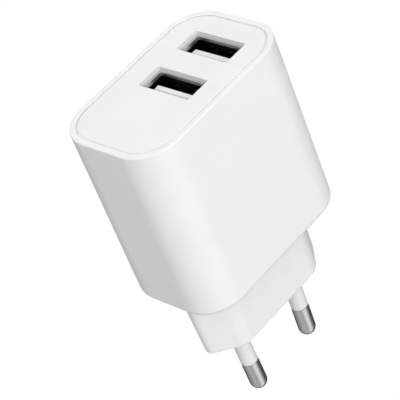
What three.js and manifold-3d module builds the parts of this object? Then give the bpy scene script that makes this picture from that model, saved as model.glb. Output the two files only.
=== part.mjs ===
// A two-port USB wall charger with a two-pin mains plug.
// Millimetres, +Z up. The origin is the centre of the flat pin face of the plug neck, so the pins
// point down to -Z, and the socket face is the top. X runs along the long side of the body.
import * as THREE from 'three';
import { mergeVertices } from 'three/addons/utils/BufferGeometryUtils.js';
import Module from 'manifold-3d';

const wasm = await Module();
wasm.setup();

// ---- Driving dimensions ----

// Plug: round pins with insulating sleeves, closer together at the tips than at the face.
const pinSpacingAtFace = 18.6;
const pinSpacingAtTip = 17.5;
const pinLength = 19;
const pinRadius = 2;
const pinCoreRadius = 1.35;
const pinStubLength = 8.6;
const sleeveRadius = 1.85;
const sleeveLength = 10.7;
const sleeveDepthInNeck = 1.6;

// Plug neck: a long hexagon with 45 degree shoulders.
const neckHeight = 17.5;
const neckNose = 18.6;
const neckHalfWidth = 6.6;
const neckShoulder = 12.1;
const neckNoseRadius = 1.9;
const neckShoulderRadius = 5;
const neckDraft = 0.5;
const neckWall = 1.5;
const neckSlab = 6;
const neckFlange = 0.9;
const neckFlangeHeight = 1.4;

// Body: a box with round upright corners, and a face plate let into its top.
const bodyLength = 43.4;
const bodyDepth = 27.4;
const bodyHeight = 43.4;
const bodyRadius = 8.4;
const bodyWall = 2.2;
const bodyFloor = 2;
const bodyBottomRadius = 1.5;
const bodyTop = neckHeight + bodyHeight;

const rimLength = 1.4;
const rimDepth = 1.25;
const rimRadius = 7.2;
const grooveWidth = 0.3;
const plateThickness = 1.5;
const plateSeat = bodyTop - plateThickness - 0.1;

// USB sockets: two upright type A sockets side by side, off the middle of the face.
const portCentres = [0.1, 12];
const portOffset = -0.3;
const portLength = 13.9;
const portWidth = 6.2;
const portShift = [-0.2, -0.1];
const portRadius = 0.4;
const socketLength = 12.5;
const socketWidth = 5.12;
const socketWallOnLength = 0.3;
const socketWallOnWidth = 0.24;
const socketMouth = bodyTop - 1;
const tongueLength = 11.1;
const tongueThickness = 1.84;
const tongueOffset = 0.95;
const tongueTip = bodyTop - 2.3;
const contactPitch = 2.3;
const contactWidth = 1.2;
const contactThickness = 0.25;

// Circuit boards: the main board stands upright, the output board lies across its top.
const boardThickness = 1.6;
const mainBoardFront = 3.5;
const mainBoardHalfLength = 19;
const mainBoardBottom = neckHeight + bodyFloor + 2.3;
const mainBoardTop = 43;
const tongueBoardHalf = 8.2;
const tongueBoardBottom = 9;
const outputBoardBottom = 43.6;
const outputBoardThickness = 1.2;
const outputBoardTop = outputBoardBottom + outputBoardThickness;

// Air between pieces that don't touch, between moulded-in pieces, and between pushed-in pieces.
const clearance = 0.3;
const smallClearance = 0.15;
const fitGap = 0.1;

// How far a cutting shape runs past the faces it cuts.
const past = 1;
const roundSegments = 20;
const arcSegments = 4;

const pinTilt = Math.atan((pinSpacingAtFace - pinSpacingAtTip) / 2 / pinLength);

// ---- Finishes: colour, roughness, metalness ----

const finishes = {
  whiteBody: [0xf4f4f3, 0.38, 0],
  whitePlate: [0xeeeeed, 0.42, 0],
  whiteSocket: [0xe6e6e4, 0.5, 0],
  greySleeve: [0xd9dadb, 0.45, 0],
  nickel: [0xb4b4b2, 0.22, 1],
  blackSteel: [0x1b1b1d, 0.45, 0.8],
  brass: [0xc9a24b, 0.35, 1],
  greenBoard: [0x1e6b3c, 0.5, 0],
  blackPlastic: [0x1c1c1e, 0.55, 0],
  blackSleeve: [0x26262b, 0.4, 0],
  blueDisc: [0x2d5fa8, 0.4, 0],
  ferrite: [0x3a3a3c, 0.75, 0],
  yellowTape: [0xe0b93a, 0.35, 0],
  blackBobbin: [0x2a2422, 0.6, 0],
  greenResistor: [0x5d7f6a, 0.6, 0],
};

// ---- Solid helpers ----

function solidOf(geometry) {
  const bare = geometry.clone();
  bare.deleteAttribute('normal');
  bare.deleteAttribute('uv');
  const merged = mergeVertices(bare, 1e-4);
  const mesh = new wasm.Mesh({
    numProp: 3,
    vertProperties: Float32Array.from(merged.attributes.position.array),
    triVerts: Uint32Array.from(merged.index.array),
  });
  return new wasm.Manifold(mesh);
}

function geometryOf(solid) {
  const mesh = solid.getMesh();
  const geometry = new THREE.BufferGeometry();
  geometry.setAttribute('position', new THREE.BufferAttribute(mesh.vertProperties, 3));
  geometry.setIndex(new THREE.BufferAttribute(mesh.triVerts, 1));
  geometry.computeVertexNormals();
  return geometry;
}

function join(first, ...others) {
  let solid = solidOf(first);
  for (const other of others) solid = solid.add(solidOf(other));
  return geometryOf(solid);
}

function cut(first, ...tools) {
  let solid = solidOf(first);
  for (const tool of tools) solid = solid.subtract(solidOf(tool));
  return geometryOf(solid);
}

// A box between two corners.
function block([x0, y0, z0], [x1, y1, z1]) {
  const box = new THREE.BoxGeometry(x1 - x0, y1 - y0, z1 - z0);
  return box.translate((x0 + x1) / 2, (y0 + y1) / 2, (z0 + z1) / 2);
}

// An upright cylinder on the Z axis.
function rod(radius, z0, z1, segments = roundSegments) {
  const cylinder = new THREE.CylinderGeometry(radius, radius, z1 - z0, segments);
  return cylinder.rotateX(Math.PI / 2).translate(0, 0, (z0 + z1) / 2);
}

// A flat outline raised from z0 to z1.
function prism(shape, z0, z1) {
  const settings = { depth: z1 - z0, bevelEnabled: false, curveSegments: arcSegments };
  return new THREE.ExtrudeGeometry(shape, settings).translate(0, 0, z0);
}

// A profile of [radius, z] points turned about the Z axis, from the axis back to the axis.
function turned(profile) {
  const points = profile.map(([radius, z]) => new THREE.Vector2(radius, z));
  return new THREE.LatheGeometry(points, roundSegments).rotateX(Math.PI / 2);
}

// ---- Outlines ----

// A polygon with a round of its own at each corner, counterclockwise.
function roundedPolygon(corners, radii) {
  const shape = new THREE.Shape();
  const count = corners.length;
  corners.forEach((corner, i) => {
    const point = new THREE.Vector2(...corner);
    const before = new THREE.Vector2(...corners[(i + count - 1) % count]).sub(point).normalize();
    const after = new THREE.Vector2(...corners[(i + 1) % count]).sub(point).normalize();
    const halfAngle = Math.acos(before.dot(after)) / 2;
    const radius = radii[i];
    const bisector = before.clone().add(after).normalize();
    const centre = point.clone().addScaledVector(bisector, radius / Math.sin(halfAngle));
    const start = point.clone().addScaledVector(before, radius / Math.tan(halfAngle)).sub(centre);
    const end = point.clone().addScaledVector(after, radius / Math.tan(halfAngle)).sub(centre);
    shape.absarc(centre.x, centre.y, radius, start.angle(), end.angle(), false);
  });
  shape.closePath();
  return shape;
}

// Two numbers, the smaller first.
function inOrder(a, b) {
  return [Math.min(a, b), Math.max(a, b)];
}

function roundedRectangle(length, depth, radius, x = 0, y = 0) {
  const a = length / 2;
  const b = depth / 2;
  const corners = [[x - a, y - b], [x + a, y - b], [x + a, y + b], [x - a, y + b]];
  return roundedPolygon(corners, [radius, radius, radius, radius]);
}

// The neck's outline, moved outwards by grow.
function neckOutline(grow) {
  const nose = neckNose + grow * Math.SQRT2;
  const halfWidth = neckHalfWidth + grow;
  const shoulder = neckShoulder + grow * (Math.SQRT2 - 1);
  const corners = [
    [nose, 0], [shoulder, halfWidth], [-shoulder, halfWidth],
    [-nose, 0], [-shoulder, -halfWidth], [shoulder, -halfWidth],
  ];
  const noseRadius = Math.max(neckNoseRadius + grow, 0.4);
  const shoulderRadius = neckShoulderRadius + grow;
  const half = [noseRadius, shoulderRadius, shoulderRadius];
  return roundedPolygon(corners, [...half, ...half]);
}

// Widens a prism on z = 0 evenly towards height, as a moulding's draft does.
function drafted(geometry, height, draft) {
  const position = geometry.attributes.position;
  for (let i = 0; i < position.count; i += 1) {
    const share = position.getZ(i) / height;
    position.setX(i, position.getX(i) * (1 + draft / neckNose * share));
    position.setY(i, position.getY(i) * (1 + draft / neckHalfWidth * share));
  }
  return geometry;
}

// ---- Scene graph ----

const group = new THREE.Group();

function add(name, geometry, finish, position = [0, 0, 0], rotation = [0, 0, 0]) {
  const [color, roughness, metalness] = finishes[finish];
  const material = new THREE.MeshStandardMaterial({ color, roughness, metalness });
  const mesh = new THREE.Mesh(geometry, material);
  mesh.name = name;
  mesh.position.set(...position);
  mesh.rotation.set(...rotation);
  group.add(mesh);
}

// Parts stand up from z = 0 of their own, and are turned to stand on one side of the main board.
function addOnFront(name, geometry, finish, x, z) {
  add(name, geometry, finish, [x, mainBoardFront - clearance, z], [Math.PI / 2, 0, 0]);
}

function addOnBack(name, geometry, finish, x, z) {
  const y = mainBoardFront + boardThickness + clearance;
  add(name, geometry, finish, [x, y, z], [-Math.PI / 2, 0, 0]);
}

// ---- Body shell ----

function housingShell() {
  const outline = roundedRectangle(bodyLength, bodyDepth, bodyRadius);
  const outer = new THREE.ExtrudeGeometry(outline, {
    steps: 1,
    depth: bodyHeight,
    bevelThickness: bodyBottomRadius,
    bevelSize: bodyBottomRadius,
    bevelOffset: -bodyBottomRadius,
    bevelSegments: 4,
    curveSegments: arcSegments,
  }).translate(0, 0, neckHeight + bodyBottomRadius);
  const aboveTop = bodyTop + 4 * bodyBottomRadius;
  const above = block([-bodyLength, -bodyDepth, bodyTop], [bodyLength, bodyDepth, aboveTop]);
  const cavityRadius = bodyRadius - bodyWall;
  const cavityOutline = roundedRectangle(bodyLength - 2 * bodyWall, bodyDepth - 2 * bodyWall, cavityRadius);
  const cavity = prism(cavityOutline, neckHeight + bodyFloor, bodyTop + past);
  const recessOutline = roundedRectangle(bodyLength - 2 * rimLength, bodyDepth - 2 * rimDepth, rimRadius);
  const recess = prism(recessOutline, plateSeat, bodyTop + past);
  const holeOutline = neckOutline(neckDraft + clearance);
  const neckHole = prism(holeOutline, neckHeight - past, neckHeight + bodyFloor + past);
  const shell = cut(outer, above, cavity, recess, neckHole);
  return join(shell, ...boardGuides());
}

// Two ribs on each short wall hold the main board's edge between them.
function boardGuides() {
  const ribDepth = 0.8;
  const ribReach = 1.3;
  const ribRoot = 0.5;
  const wallFace = bodyLength / 2 - bodyWall;
  const frontRib = mainBoardFront - clearance - ribDepth;
  const backRib = mainBoardFront + boardThickness + clearance;
  const ribs = [];
  for (const side of [-1, 1]) {
    const ends = inOrder(side * (wallFace - ribReach), side * (wallFace + ribRoot));
    for (const y of [frontRib, backRib]) {
      const low = [ends[0], y, mainBoardBottom - clearance];
      ribs.push(block(low, [ends[1], y + ribDepth, outputBoardBottom - clearance]));
    }
  }
  return ribs;
}

// ---- Face plate with two socket openings and four locating tabs ----

function facePlate() {
  const length = bodyLength - 2 * rimLength - 2 * grooveWidth;
  const depth = bodyDepth - 2 * rimDepth - 2 * grooveWidth;
  const outline = roundedRectangle(length, depth, rimRadius - grooveWidth);
  const plate = prism(outline, bodyTop - plateThickness, bodyTop);
  const openings = portCentres.map((x) => {
    const [shiftX, shiftY] = portShift;
    const [atX, atY] = [x + shiftX, portOffset + shiftY];
    const opening = roundedRectangle(portWidth, portLength, portRadius, atX, atY);
    return prism(opening, bodyTop - 2 * plateThickness, bodyTop + past);
  });
  return join(cut(plate, ...openings), ...plateTabs());
}

function plateTabs() {
  const tabLength = 6;
  const tabThickness = 1;
  const tabHeight = 4;
  const tabOffset = 9.5;
  const outerFace = bodyDepth / 2 - bodyWall - clearance;
  const tabs = [];
  for (const x of [-tabOffset, tabOffset]) {
    for (const side of [-1, 1]) {
      const y = side * (outerFace - tabThickness / 2);
      const low = [x - tabLength / 2, y - tabThickness / 2, bodyTop - plateThickness - tabHeight];
      tabs.push(block(low, [x + tabLength / 2, y + tabThickness / 2, bodyTop - plateThickness / 2]));
    }
  }
  return tabs;
}

// ---- Plug neck: hexagonal cup that carries the pins, with a flange inside the body ----

function plugNeck() {
  const top = neckHeight + bodyFloor;
  const prismHeight = top + clearance;
  const outer = drafted(prism(neckOutline(0), 0, prismHeight), neckHeight, neckDraft);
  const flangeTop = prismHeight + neckFlangeHeight;
  const flange = prism(neckOutline(neckDraft + neckFlange), prismHeight, flangeTop);
  const hollow = prism(neckOutline(-neckWall), neckSlab, flangeTop + past);
  const bores = [-1, 1].flatMap((side) => {
    const sleeveSeat = rod(sleeveRadius + smallClearance, -past, sleeveDepthInNeck + smallClearance);
    const coreHole = rod(pinCoreRadius + smallClearance, -past, neckSlab + past);
    return [sleeveSeat, coreHole].map((bore) => alongPin(bore, side));
  });
  return cut(join(outer, flange), hollow, ...bores);
}

function alongPin(geometry, side) {
  return geometry.rotateY(side * pinTilt).translate(side * pinSpacingAtFace / 2, 0, 0);
}

// ---- Pins, sleeves and the strips that join the pins to the main board ----

function pin() {
  const profile = [];
  const tipSteps = 6;
  const tipCentre = pinRadius - pinLength;
  for (let i = 0; i <= tipSteps; i += 1) {
    const angle = (i / tipSteps) * Math.PI / 2;
    profile.push([pinRadius * Math.sin(angle), tipCentre - pinRadius * Math.cos(angle)]);
  }
  const metalEnd = -sleeveLength - smallClearance;
  profile.push([pinRadius, metalEnd]);
  profile.push([pinCoreRadius, metalEnd]);
  profile.push([pinCoreRadius, pinStubLength]);
  profile.push([0, pinStubLength]);
  return join(turned(profile));
}

function pinSleeve() {
  const bore = pinCoreRadius + smallClearance;
  const outer = rod(sleeveRadius, -sleeveLength, sleeveDepthInNeck);
  return cut(outer, rod(bore, -sleeveLength - past, sleeveDepthInNeck + past));
}

// A flat eye round the pin's stub, with a leg that rises beside the main board.
function pinStrip(side) {
  const stubAt = side * (pinSpacingAtFace / 2 + neckSlab * Math.tan(pinTilt));
  const thickness = 0.5;
  const base = neckSlab + clearance;
  const eyeRadius = 2.7;
  const legTop = neckHeight - 2;
  const [legLow, legHigh] = inOrder(side * 6, side * 8);
  const legFace = mainBoardFront - clearance;
  const eye = rod(eyeRadius, base, base + thickness).translate(stubAt, 0, 0);
  const arm = block([legLow, 1, base], [legHigh, legFace, base + thickness]);
  const leg = block([legLow, legFace - thickness, base], [legHigh, legFace, legTop]);
  const holeRadius = pinCoreRadius + smallClearance;
  const hole = rod(holeRadius, base - past, base + thickness + past).translate(stubAt, 0, 0);
  return cut(join(eye, arm, leg), hole);
}

for (const [name, side] of [['left', -1], ['right', 1]]) {
  const position = [side * pinSpacingAtFace / 2, 0, 0];
  const rotation = [0, side * pinTilt, 0];
  add(`plug_pin_${name}`, pin(), 'nickel', position, rotation);
  add(`pin_sleeve_${name}`, pinSleeve(), 'greySleeve', position, rotation);
  add(`pin_strip_${name}`, pinStrip(side), 'brass');
}

add('housing_shell', housingShell(), 'whiteBody');
add('face_plate', facePlate(), 'whitePlate');
add('plug_neck', plugNeck(), 'whiteBody');

// ---- Circuit boards and the pins that join them ----

const linkPinWidth = 0.6;
const linkPitch = 2.54;
const linkCentre = 6;
const fourInARow = [-1.5, -0.5, 0.5, 1.5];
const linkPositions = fourInARow.map((step) => linkCentre + step * linkPitch);
const linkFootLength = 2;
const linkPinLine = mainBoardFront + boardThickness + clearance + linkFootLength;
const linkHeaderTop = outputBoardBottom - clearance;
const linkHeaderHeight = 2.4;
const linkHeaderHalfDepth = 1.2;
const linkHeaderMargin = 1.3;
const linkPinDrop = 2.2;
const linkPinProud = 0.8;
const linkHoleSegments = 12;

// The main board has a narrow tongue that reaches down into the neck between the pins.
function mainBoard() {
  const wide = mainBoardHalfLength;
  const narrow = tongueBoardHalf;
  const corners = [
    [-narrow, tongueBoardBottom], [narrow, tongueBoardBottom], [narrow, mainBoardBottom],
    [wide, mainBoardBottom], [wide, mainBoardTop], [-wide, mainBoardTop],
    [-wide, mainBoardBottom], [-narrow, mainBoardBottom],
  ];
  const outline = new THREE.Shape(corners.map(([x, z]) => new THREE.Vector2(x, z)));
  const board = prism(outline, 0, boardThickness).rotateX(Math.PI / 2);
  return join(board.translate(0, mainBoardFront + boardThickness, 0));
}

function outputBoard() {
  const length = bodyLength - 2 * bodyWall - 2 * clearance;
  const depth = bodyDepth - 2 * bodyWall - 2 * clearance;
  const outline = roundedRectangle(length, depth, bodyRadius - bodyWall - clearance);
  const board = prism(outline, outputBoardBottom, outputBoardTop);
  const holes = linkPositions.map((x) => {
    const hole = rod(linkPinWidth, outputBoardBottom - past, outputBoardTop + past, linkHoleSegments);
    return hole.translate(x, linkPinLine, 0);
  });
  return cut(board, ...holes);
}

function linkHeader() {
  const left = linkPositions[0] - linkHeaderMargin;
  const right = linkPositions[3] + linkHeaderMargin;
  const bottom = linkHeaderTop - linkHeaderHeight;
  const front = linkPinLine - linkHeaderHalfDepth;
  const body = block([left, front, bottom], [right, linkPinLine + linkHeaderHalfDepth, linkHeaderTop]);
  const half = linkPinWidth / 2 + smallClearance;
  const holes = linkPositions.map((x) => {
    const low = [x - half, linkPinLine - half, bottom - past];
    return block(low, [x + half, linkPinLine + half, linkHeaderTop + past]);
  });
  return cut(body, ...holes);
}

// A square pin bent so that its foot lies on the main board's back.
function linkPin() {
  const half = linkPinWidth / 2;
  const low = linkHeaderTop - linkHeaderHeight - linkPinDrop;
  const upright = block([-half, -half, low], [half, half, outputBoardTop + linkPinProud]);
  const foot = block([-half, -linkFootLength, low], [half, half, low + linkPinWidth]);
  return join(upright, foot);
}

add('main_board', mainBoard(), 'greenBoard');
add('output_board', outputBoard(), 'greenBoard');
add('link_header', linkHeader(), 'blackPlastic');
linkPositions.forEach((x, i) => {
  add(`link_pin_${i + 1}`, linkPin(), 'brass', [x, linkPinLine, 0]);
});

// ---- USB sockets, stood on the output board ----

const socketFoot = outputBoardTop + fitGap;
const socketOuterRadius = 0.5;
const socketInnerRadius = 0.3;
const socketBackHeight = 3.6;
const tongueLow = -socketWidth / 2 + tongueOffset;
const tongueHigh = tongueLow + tongueThickness;
const contactPositions = fourInARow.map((step) => step * contactPitch);
const contactTop = tongueTip - 1.5;

function socketShell() {
  const outerWidth = socketWidth + 2 * socketWallOnWidth;
  const outerLength = socketLength + 2 * socketWallOnLength;
  const outerOutline = roundedRectangle(outerWidth, outerLength, socketOuterRadius);
  const innerOutline = roundedRectangle(socketWidth, socketLength, socketInnerRadius);
  const outer = prism(outerOutline, socketFoot, socketMouth);
  return cut(outer, prism(innerOutline, socketFoot - past, socketMouth + past));
}

// The white insulator: a block in the foot of the shell, with the tongue rising from it.
function socketInsulator() {
  const halfWidth = socketWidth / 2 - fitGap;
  const halfLength = socketLength / 2 - fitGap;
  const backTop = socketFoot + socketBackHeight;
  const back = block([-halfWidth, -halfLength, socketFoot], [halfWidth, halfLength, backTop]);
  const tongueBottom = [tongueLow, -tongueLength / 2, backTop - past];
  const tongue = block(tongueBottom, [tongueHigh, tongueLength / 2, tongueTip]);
  const slotHalf = contactWidth / 2 + fitGap;
  const slotBack = tongueHigh - contactThickness - fitGap;
  const slots = contactPositions.map((y) => {
    const low = [slotBack, y - slotHalf, socketFoot - past];
    return block(low, [tongueHigh + contactThickness, y + slotHalf, contactTop + fitGap]);
  });
  return cut(join(back, tongue), ...slots);
}

// A flat spring strip whose upper end is bowed a little out of the tongue.
function socketContact() {
  const back = tongueHigh - contactThickness;
  const foot = socketFoot + fitGap;
  const bow = 0.35;
  const bowStart = contactTop - 5;
  const bowPeak = contactTop - 2.2;
  const bowEnd = contactTop - 0.8;
  const corners = [
    [back, foot], [tongueHigh, foot], [tongueHigh, bowStart], [tongueHigh + bow, bowPeak],
    [tongueHigh, bowEnd + contactThickness], [tongueHigh, contactTop], [back, contactTop],
    [back, bowEnd], [back + bow, bowPeak], [back, bowStart],
  ];
  const outline = new THREE.Shape(corners.map(([x, z]) => new THREE.Vector2(x, z)));
  const strip = prism(outline, 0, contactWidth).rotateX(Math.PI / 2);
  return join(strip.translate(0, contactWidth / 2, 0));
}

portCentres.forEach((x, port) => {
  add(`usb_shell_${port + 1}`, socketShell(), 'blackSteel', [x, portOffset, 0]);
  add(`usb_insulator_${port + 1}`, socketInsulator(), 'whiteSocket', [x, portOffset, 0]);
  contactPositions.forEach((y, i) => {
    add(`usb_contact_${port + 1}_${i + 1}`, socketContact(), 'brass', [x, y + portOffset, 0]);
  });
});

// ---- Transformer ----

const coreHalfWidth = 8;
const coreHalfHeight = 7.2;
const coreHalfDepth = 2.4;
const coreYoke = 2.2;
const coreCentreLeg = 2;
const coreSideLeg = 2.05;
const coreGap = 0.05;
const bobbinHalfWidth = 5.7;
const bobbinHalfDepth = 6;
const bobbinRadius = 0.6;
const bobbinWall = 0.65;
const windingHalfHeight = 3.8;
const windingRadius = 2.4;
const transformerPlace = [1, mainBoardFront - clearance - bobbinHalfDepth, 32.5];

// One E-shaped half of the ferrite core, its legs pointing up from the yoke.
function coreHalf() {
  const inner = coreHalfWidth - coreSideLeg;
  const yokeTop = coreYoke - coreHalfHeight;
  const corners = [
    [-coreHalfWidth, -coreHalfHeight], [coreHalfWidth, -coreHalfHeight], [coreHalfWidth, -coreGap],
    [inner, -coreGap], [inner, yokeTop], [coreCentreLeg, yokeTop], [coreCentreLeg, -coreGap],
    [-coreCentreLeg, -coreGap], [-coreCentreLeg, yokeTop], [-inner, yokeTop],
    [-inner, -coreGap], [-coreHalfWidth, -coreGap],
  ];
  const outline = new THREE.Shape(corners.map(([x, z]) => new THREE.Vector2(x, z)));
  const half = prism(outline, -coreHalfDepth, coreHalfDepth).rotateX(Math.PI / 2);
  return join(half);
}

function bobbin() {
  const flangeOuter = 4.7;
  const flangeInner = 4;
  const holeWidth = 2 * coreCentreLeg + clearance;
  const holeDepth = 2 * coreHalfDepth + clearance;
  const spoolOutline = roundedRectangle(holeWidth + 2 * bobbinWall, holeDepth + 2 * bobbinWall, bobbinRadius);
  const flange = roundedRectangle(2 * bobbinHalfWidth, 2 * bobbinHalfDepth, bobbinRadius);
  const spool = prism(spoolOutline, -flangeOuter, flangeOuter);
  const flanges = [prism(flange, -flangeOuter, -flangeInner), prism(flange, flangeInner, flangeOuter)];
  const holeOutline = roundedRectangle(holeWidth, holeDepth, fitGap);
  return cut(join(spool, ...flanges), prism(holeOutline, -flangeOuter - past, flangeOuter + past));
}

function winding() {
  const width = 2 * (bobbinHalfWidth - clearance);
  const depth = 2 * (bobbinHalfDepth - 2 * clearance);
  const boreWidth = 2 * (coreCentreLeg + bobbinWall + clearance) + smallClearance;
  const boreDepth = 2 * (coreHalfDepth + bobbinWall + clearance) + smallClearance;
  const outline = roundedRectangle(width, depth, windingRadius);
  const outer = prism(outline, -windingHalfHeight, windingHalfHeight);
  const boreOutline = roundedRectangle(boreWidth, boreDepth, bobbinRadius);
  return cut(outer, prism(boreOutline, -windingHalfHeight - past, windingHalfHeight + past));
}

add('transformer_core_lower', coreHalf(), 'ferrite', transformerPlace);
add('transformer_core_upper', coreHalf(), 'ferrite', transformerPlace, [0, Math.PI, 0]);
add('transformer_bobbin', bobbin(), 'blackBobbin', transformerPlace);
add('transformer_winding', winding(), 'yellowTape', transformerPlace);

// ---- Board parts, each standing up from z = 0 ----

// A can with a rolled groove near its foot and a vent cross in its top.
function electrolytic(radius, height) {
  const edge = 0.4;
  const grooveHeight = 1.7;
  const can = turned([
    [0, 0], [radius - edge, 0], [radius, edge], [radius, grooveHeight - edge],
    [radius - edge, grooveHeight], [radius, grooveHeight + edge],
    [radius, height - edge], [radius - edge, height], [0, height],
  ]);
  const reach = radius * 0.6;
  const half = 0.15;
  const floor = height - 0.25;
  const vents = [
    block([-reach, -half, floor], [reach, half, height + past]),
    block([-half, -reach, floor], [half, reach, height + past]),
  ];
  return cut(can, ...vents);
}

// A moulded chip with a row of gull-wing legs along each long side.
function chip(length, width, height, legsPerSide) {
  const standOff = 0.15;
  const body = block([-length / 2, -width / 2, standOff], [length / 2, width / 2, height]);
  const pitch = length / legsPerSide;
  const legs = [];
  for (let i = 0; i < legsPerSide; i += 1) {
    const x = (i + 0.5) * pitch - length / 2;
    for (const turn of [0, Math.PI]) {
      legs.push(chipLeg(width, height).rotateZ(turn).translate(x, 0, 0));
    }
  }
  return join(body, ...legs);
}

function chipLeg(width, height) {
  const thickness = 0.2;
  const legWidth = 0.42;
  const inside = width / 2 - 0.2;
  const knee = width / 2 + 0.35;
  const toe = width / 2 + 1;
  const root = height / 2;
  const corners = [
    [inside, root], [knee, root], [knee, 0], [toe, 0], [toe, thickness],
    [knee + thickness, thickness], [knee + thickness, root + thickness], [inside, root + thickness],
  ];
  const outline = new THREE.Shape(corners.map(([y, z]) => new THREE.Vector2(y, z)));
  const leg = new THREE.ExtrudeGeometry(outline, { depth: legWidth, bevelEnabled: false });
  return leg.rotateY(Math.PI / 2).rotateX(Math.PI / 2).translate(-legWidth / 2, 0, 0);
}

// A coated disc, with its flat side against the board.
function discCapacitor(radius, thickness) {
  const round = 0.8;
  return join(turned([
    [0, 0], [radius - round, 0], [radius, round], [radius, thickness - round],
    [radius - round, thickness], [0, thickness],
  ]));
}

// A drum of ferrite wound between two flanges.
function drumInductor(radius, height) {
  const flange = 0.9;
  const waist = radius - 0.5;
  return join(turned([
    [0, 0], [radius, 0], [radius, flange], [waist, flange], [waist, height - flange],
    [radius, height - flange], [radius, height], [0, height],
  ]));
}

// A round resistor lying along X, with end caps and leads bent down to the board.
function lyingResistor(radius, length) {
  const centre = radius + 0.4;
  const capLength = 1.2;
  const leadReach = length / 2 + 1.2;
  const half = 0.3;
  const lie = (geometry) => geometry.rotateY(Math.PI / 2).translate(0, 0, centre);
  const body = lie(rod(radius - smallClearance, -length / 2, length / 2));
  const caps = [-1, 1].map((side) => {
    return lie(rod(radius, ...inOrder(side * (length / 2 - capLength), side * length / 2)));
  });
  const lead = block([-leadReach, -half, centre - half], [leadReach, half, centre + half]);
  const drops = [-1, 1].map((side) => {
    const [low, high] = inOrder(side * leadReach, side * (leadReach - 2 * half));
    return block([low, -half, 0], [high, half, centre + half]);
  });
  return join(body, ...caps, lead, ...drops);
}

// Sizes by kind: a can's radius and height; a chip's length, width, height and legs per side.
const bulkCan = [4, 12];
const outputCan = [3.15, 9];
const supplyCan = [2, 5];
const eightLegChip = [4.9, 3.9, 1.6, 4];
const fourLegBridge = [4.7, 3.9, 2.4, 2];
const fourLegCoupler = [4.6, 4.4, 3.2, 2];

addOnFront('bulk_capacitor_1', electrolytic(...bulkCan), 'blackSleeve', -13, 27);
addOnFront('bulk_capacitor_2', electrolytic(...bulkCan), 'blackSleeve', -13, 35.6);
addOnFront('fusible_resistor', lyingResistor(1.5, 8), 'greenResistor', -12.6, 41.3);
addOnFront('output_capacitor_1', electrolytic(...outputCan), 'blackSleeve', 13.6, 26);
addOnFront('output_capacitor_2', electrolytic(...outputCan), 'blackSleeve', 13.6, 33);
addOnFront('safety_capacitor', discCapacitor(3, 3.2), 'blueDisc', 13.6, 39.6);
addOnBack('input_inductor', drumInductor(2.6, 5), 'ferrite', -12.5, 28);
addOnBack('bridge_rectifier', chip(...fourLegBridge), 'blackPlastic', -12.5, 37);
addOnBack('supply_capacitor', electrolytic(...supplyCan), 'blackSleeve', -4.5, 26);
addOnBack('primary_controller', chip(...eightLegChip), 'blackPlastic', -3.5, 35);
addOnBack('optocoupler', chip(...fourLegCoupler), 'blackPlastic', 4.5, 28);
addOnBack('output_rectifier', chip(...eightLegChip), 'blackPlastic', 13, 33);

const outputBoardFace = outputBoardTop + clearance;
add('port_controller', chip(...eightLegChip), 'blackPlastic', [-11, 3.5, outputBoardFace]);
add('filter_capacitor', electrolytic(...outputCan), 'blackSleeve', [-11, -5.5, outputBoardFace]);

export default group;
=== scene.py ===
# %% [markdown]
# # A two-port wall charger with a round-pin plug
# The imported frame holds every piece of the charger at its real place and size. This lesson gives
# each piece its finished shape and surface, without moving anything. It works in metres, in the
# frame's own axes: the pins point down, the USB sockets open upwards, and X runs along the body.

# %% Load the frame
import math

import bmesh
import bpy
from mathutils import Matrix, Vector


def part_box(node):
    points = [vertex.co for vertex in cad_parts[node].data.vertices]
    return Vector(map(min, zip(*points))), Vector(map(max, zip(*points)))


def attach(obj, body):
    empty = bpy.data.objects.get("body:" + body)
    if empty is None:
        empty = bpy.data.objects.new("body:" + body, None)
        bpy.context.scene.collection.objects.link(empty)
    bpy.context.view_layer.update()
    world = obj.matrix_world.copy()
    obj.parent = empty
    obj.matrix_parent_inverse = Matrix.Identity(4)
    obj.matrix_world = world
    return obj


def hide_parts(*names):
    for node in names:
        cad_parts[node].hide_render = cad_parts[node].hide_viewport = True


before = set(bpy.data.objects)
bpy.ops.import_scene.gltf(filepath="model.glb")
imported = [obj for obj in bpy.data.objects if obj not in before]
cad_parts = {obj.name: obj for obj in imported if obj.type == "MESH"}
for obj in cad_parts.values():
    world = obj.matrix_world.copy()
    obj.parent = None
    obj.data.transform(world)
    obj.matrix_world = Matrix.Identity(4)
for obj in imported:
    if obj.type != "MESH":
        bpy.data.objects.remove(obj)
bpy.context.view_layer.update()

print("nodes in the frame:", len(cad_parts))

# %% [markdown]
# ## Sizes
# A mould maker works in millimetres, so the sizes below are in millimetres too, and MM turns them
# into metres at the last moment. The outer sizes are read from the frame's own boxes. The small
# ones, such as edge rounds, are those that a mould of this kind has.

# %% Sizes
MM = 0.001


def box_mm(node):
    """A node's low and high corners, in millimetres."""
    low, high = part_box(node)
    return Vector(low) / MM, Vector(high) / MM


body_low, body_high = box_mm("housing_shell")
plate_low, plate_high = box_mm("face_plate")
BODY_HALF = ((body_high.x - body_low.x) / 2, (body_high.y - body_low.y) / 2)
BODY_BOTTOM = body_low.z
BODY_TOP = body_high.z
BODY_RADIUS = 8.4
PLATE_HALF = ((plate_high.x - plate_low.x) / 2, (plate_high.y - plate_low.y) / 2)
PLATE_RADIUS = 6.9
PLATE_THICKNESS = 1.5
GROOVE = 0.3
WALL = 2.2
FLOOR = 2.0
print("body", round(BODY_HALF[0] * 2, 2), round(BODY_HALF[1] * 2, 2), round(BODY_TOP - BODY_BOTTOM, 2))

# %% [markdown]
# ## Camera
# The product stands away from us with its pins down. A long lens keeps its edges nearly parallel.
# The camera is described as a photographer would: where it looks, from which side and height, how
# far back it stands and how much it is rolled. A matrix of its right, up and back directions then
# turns it, which avoids juggling three angles.

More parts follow.
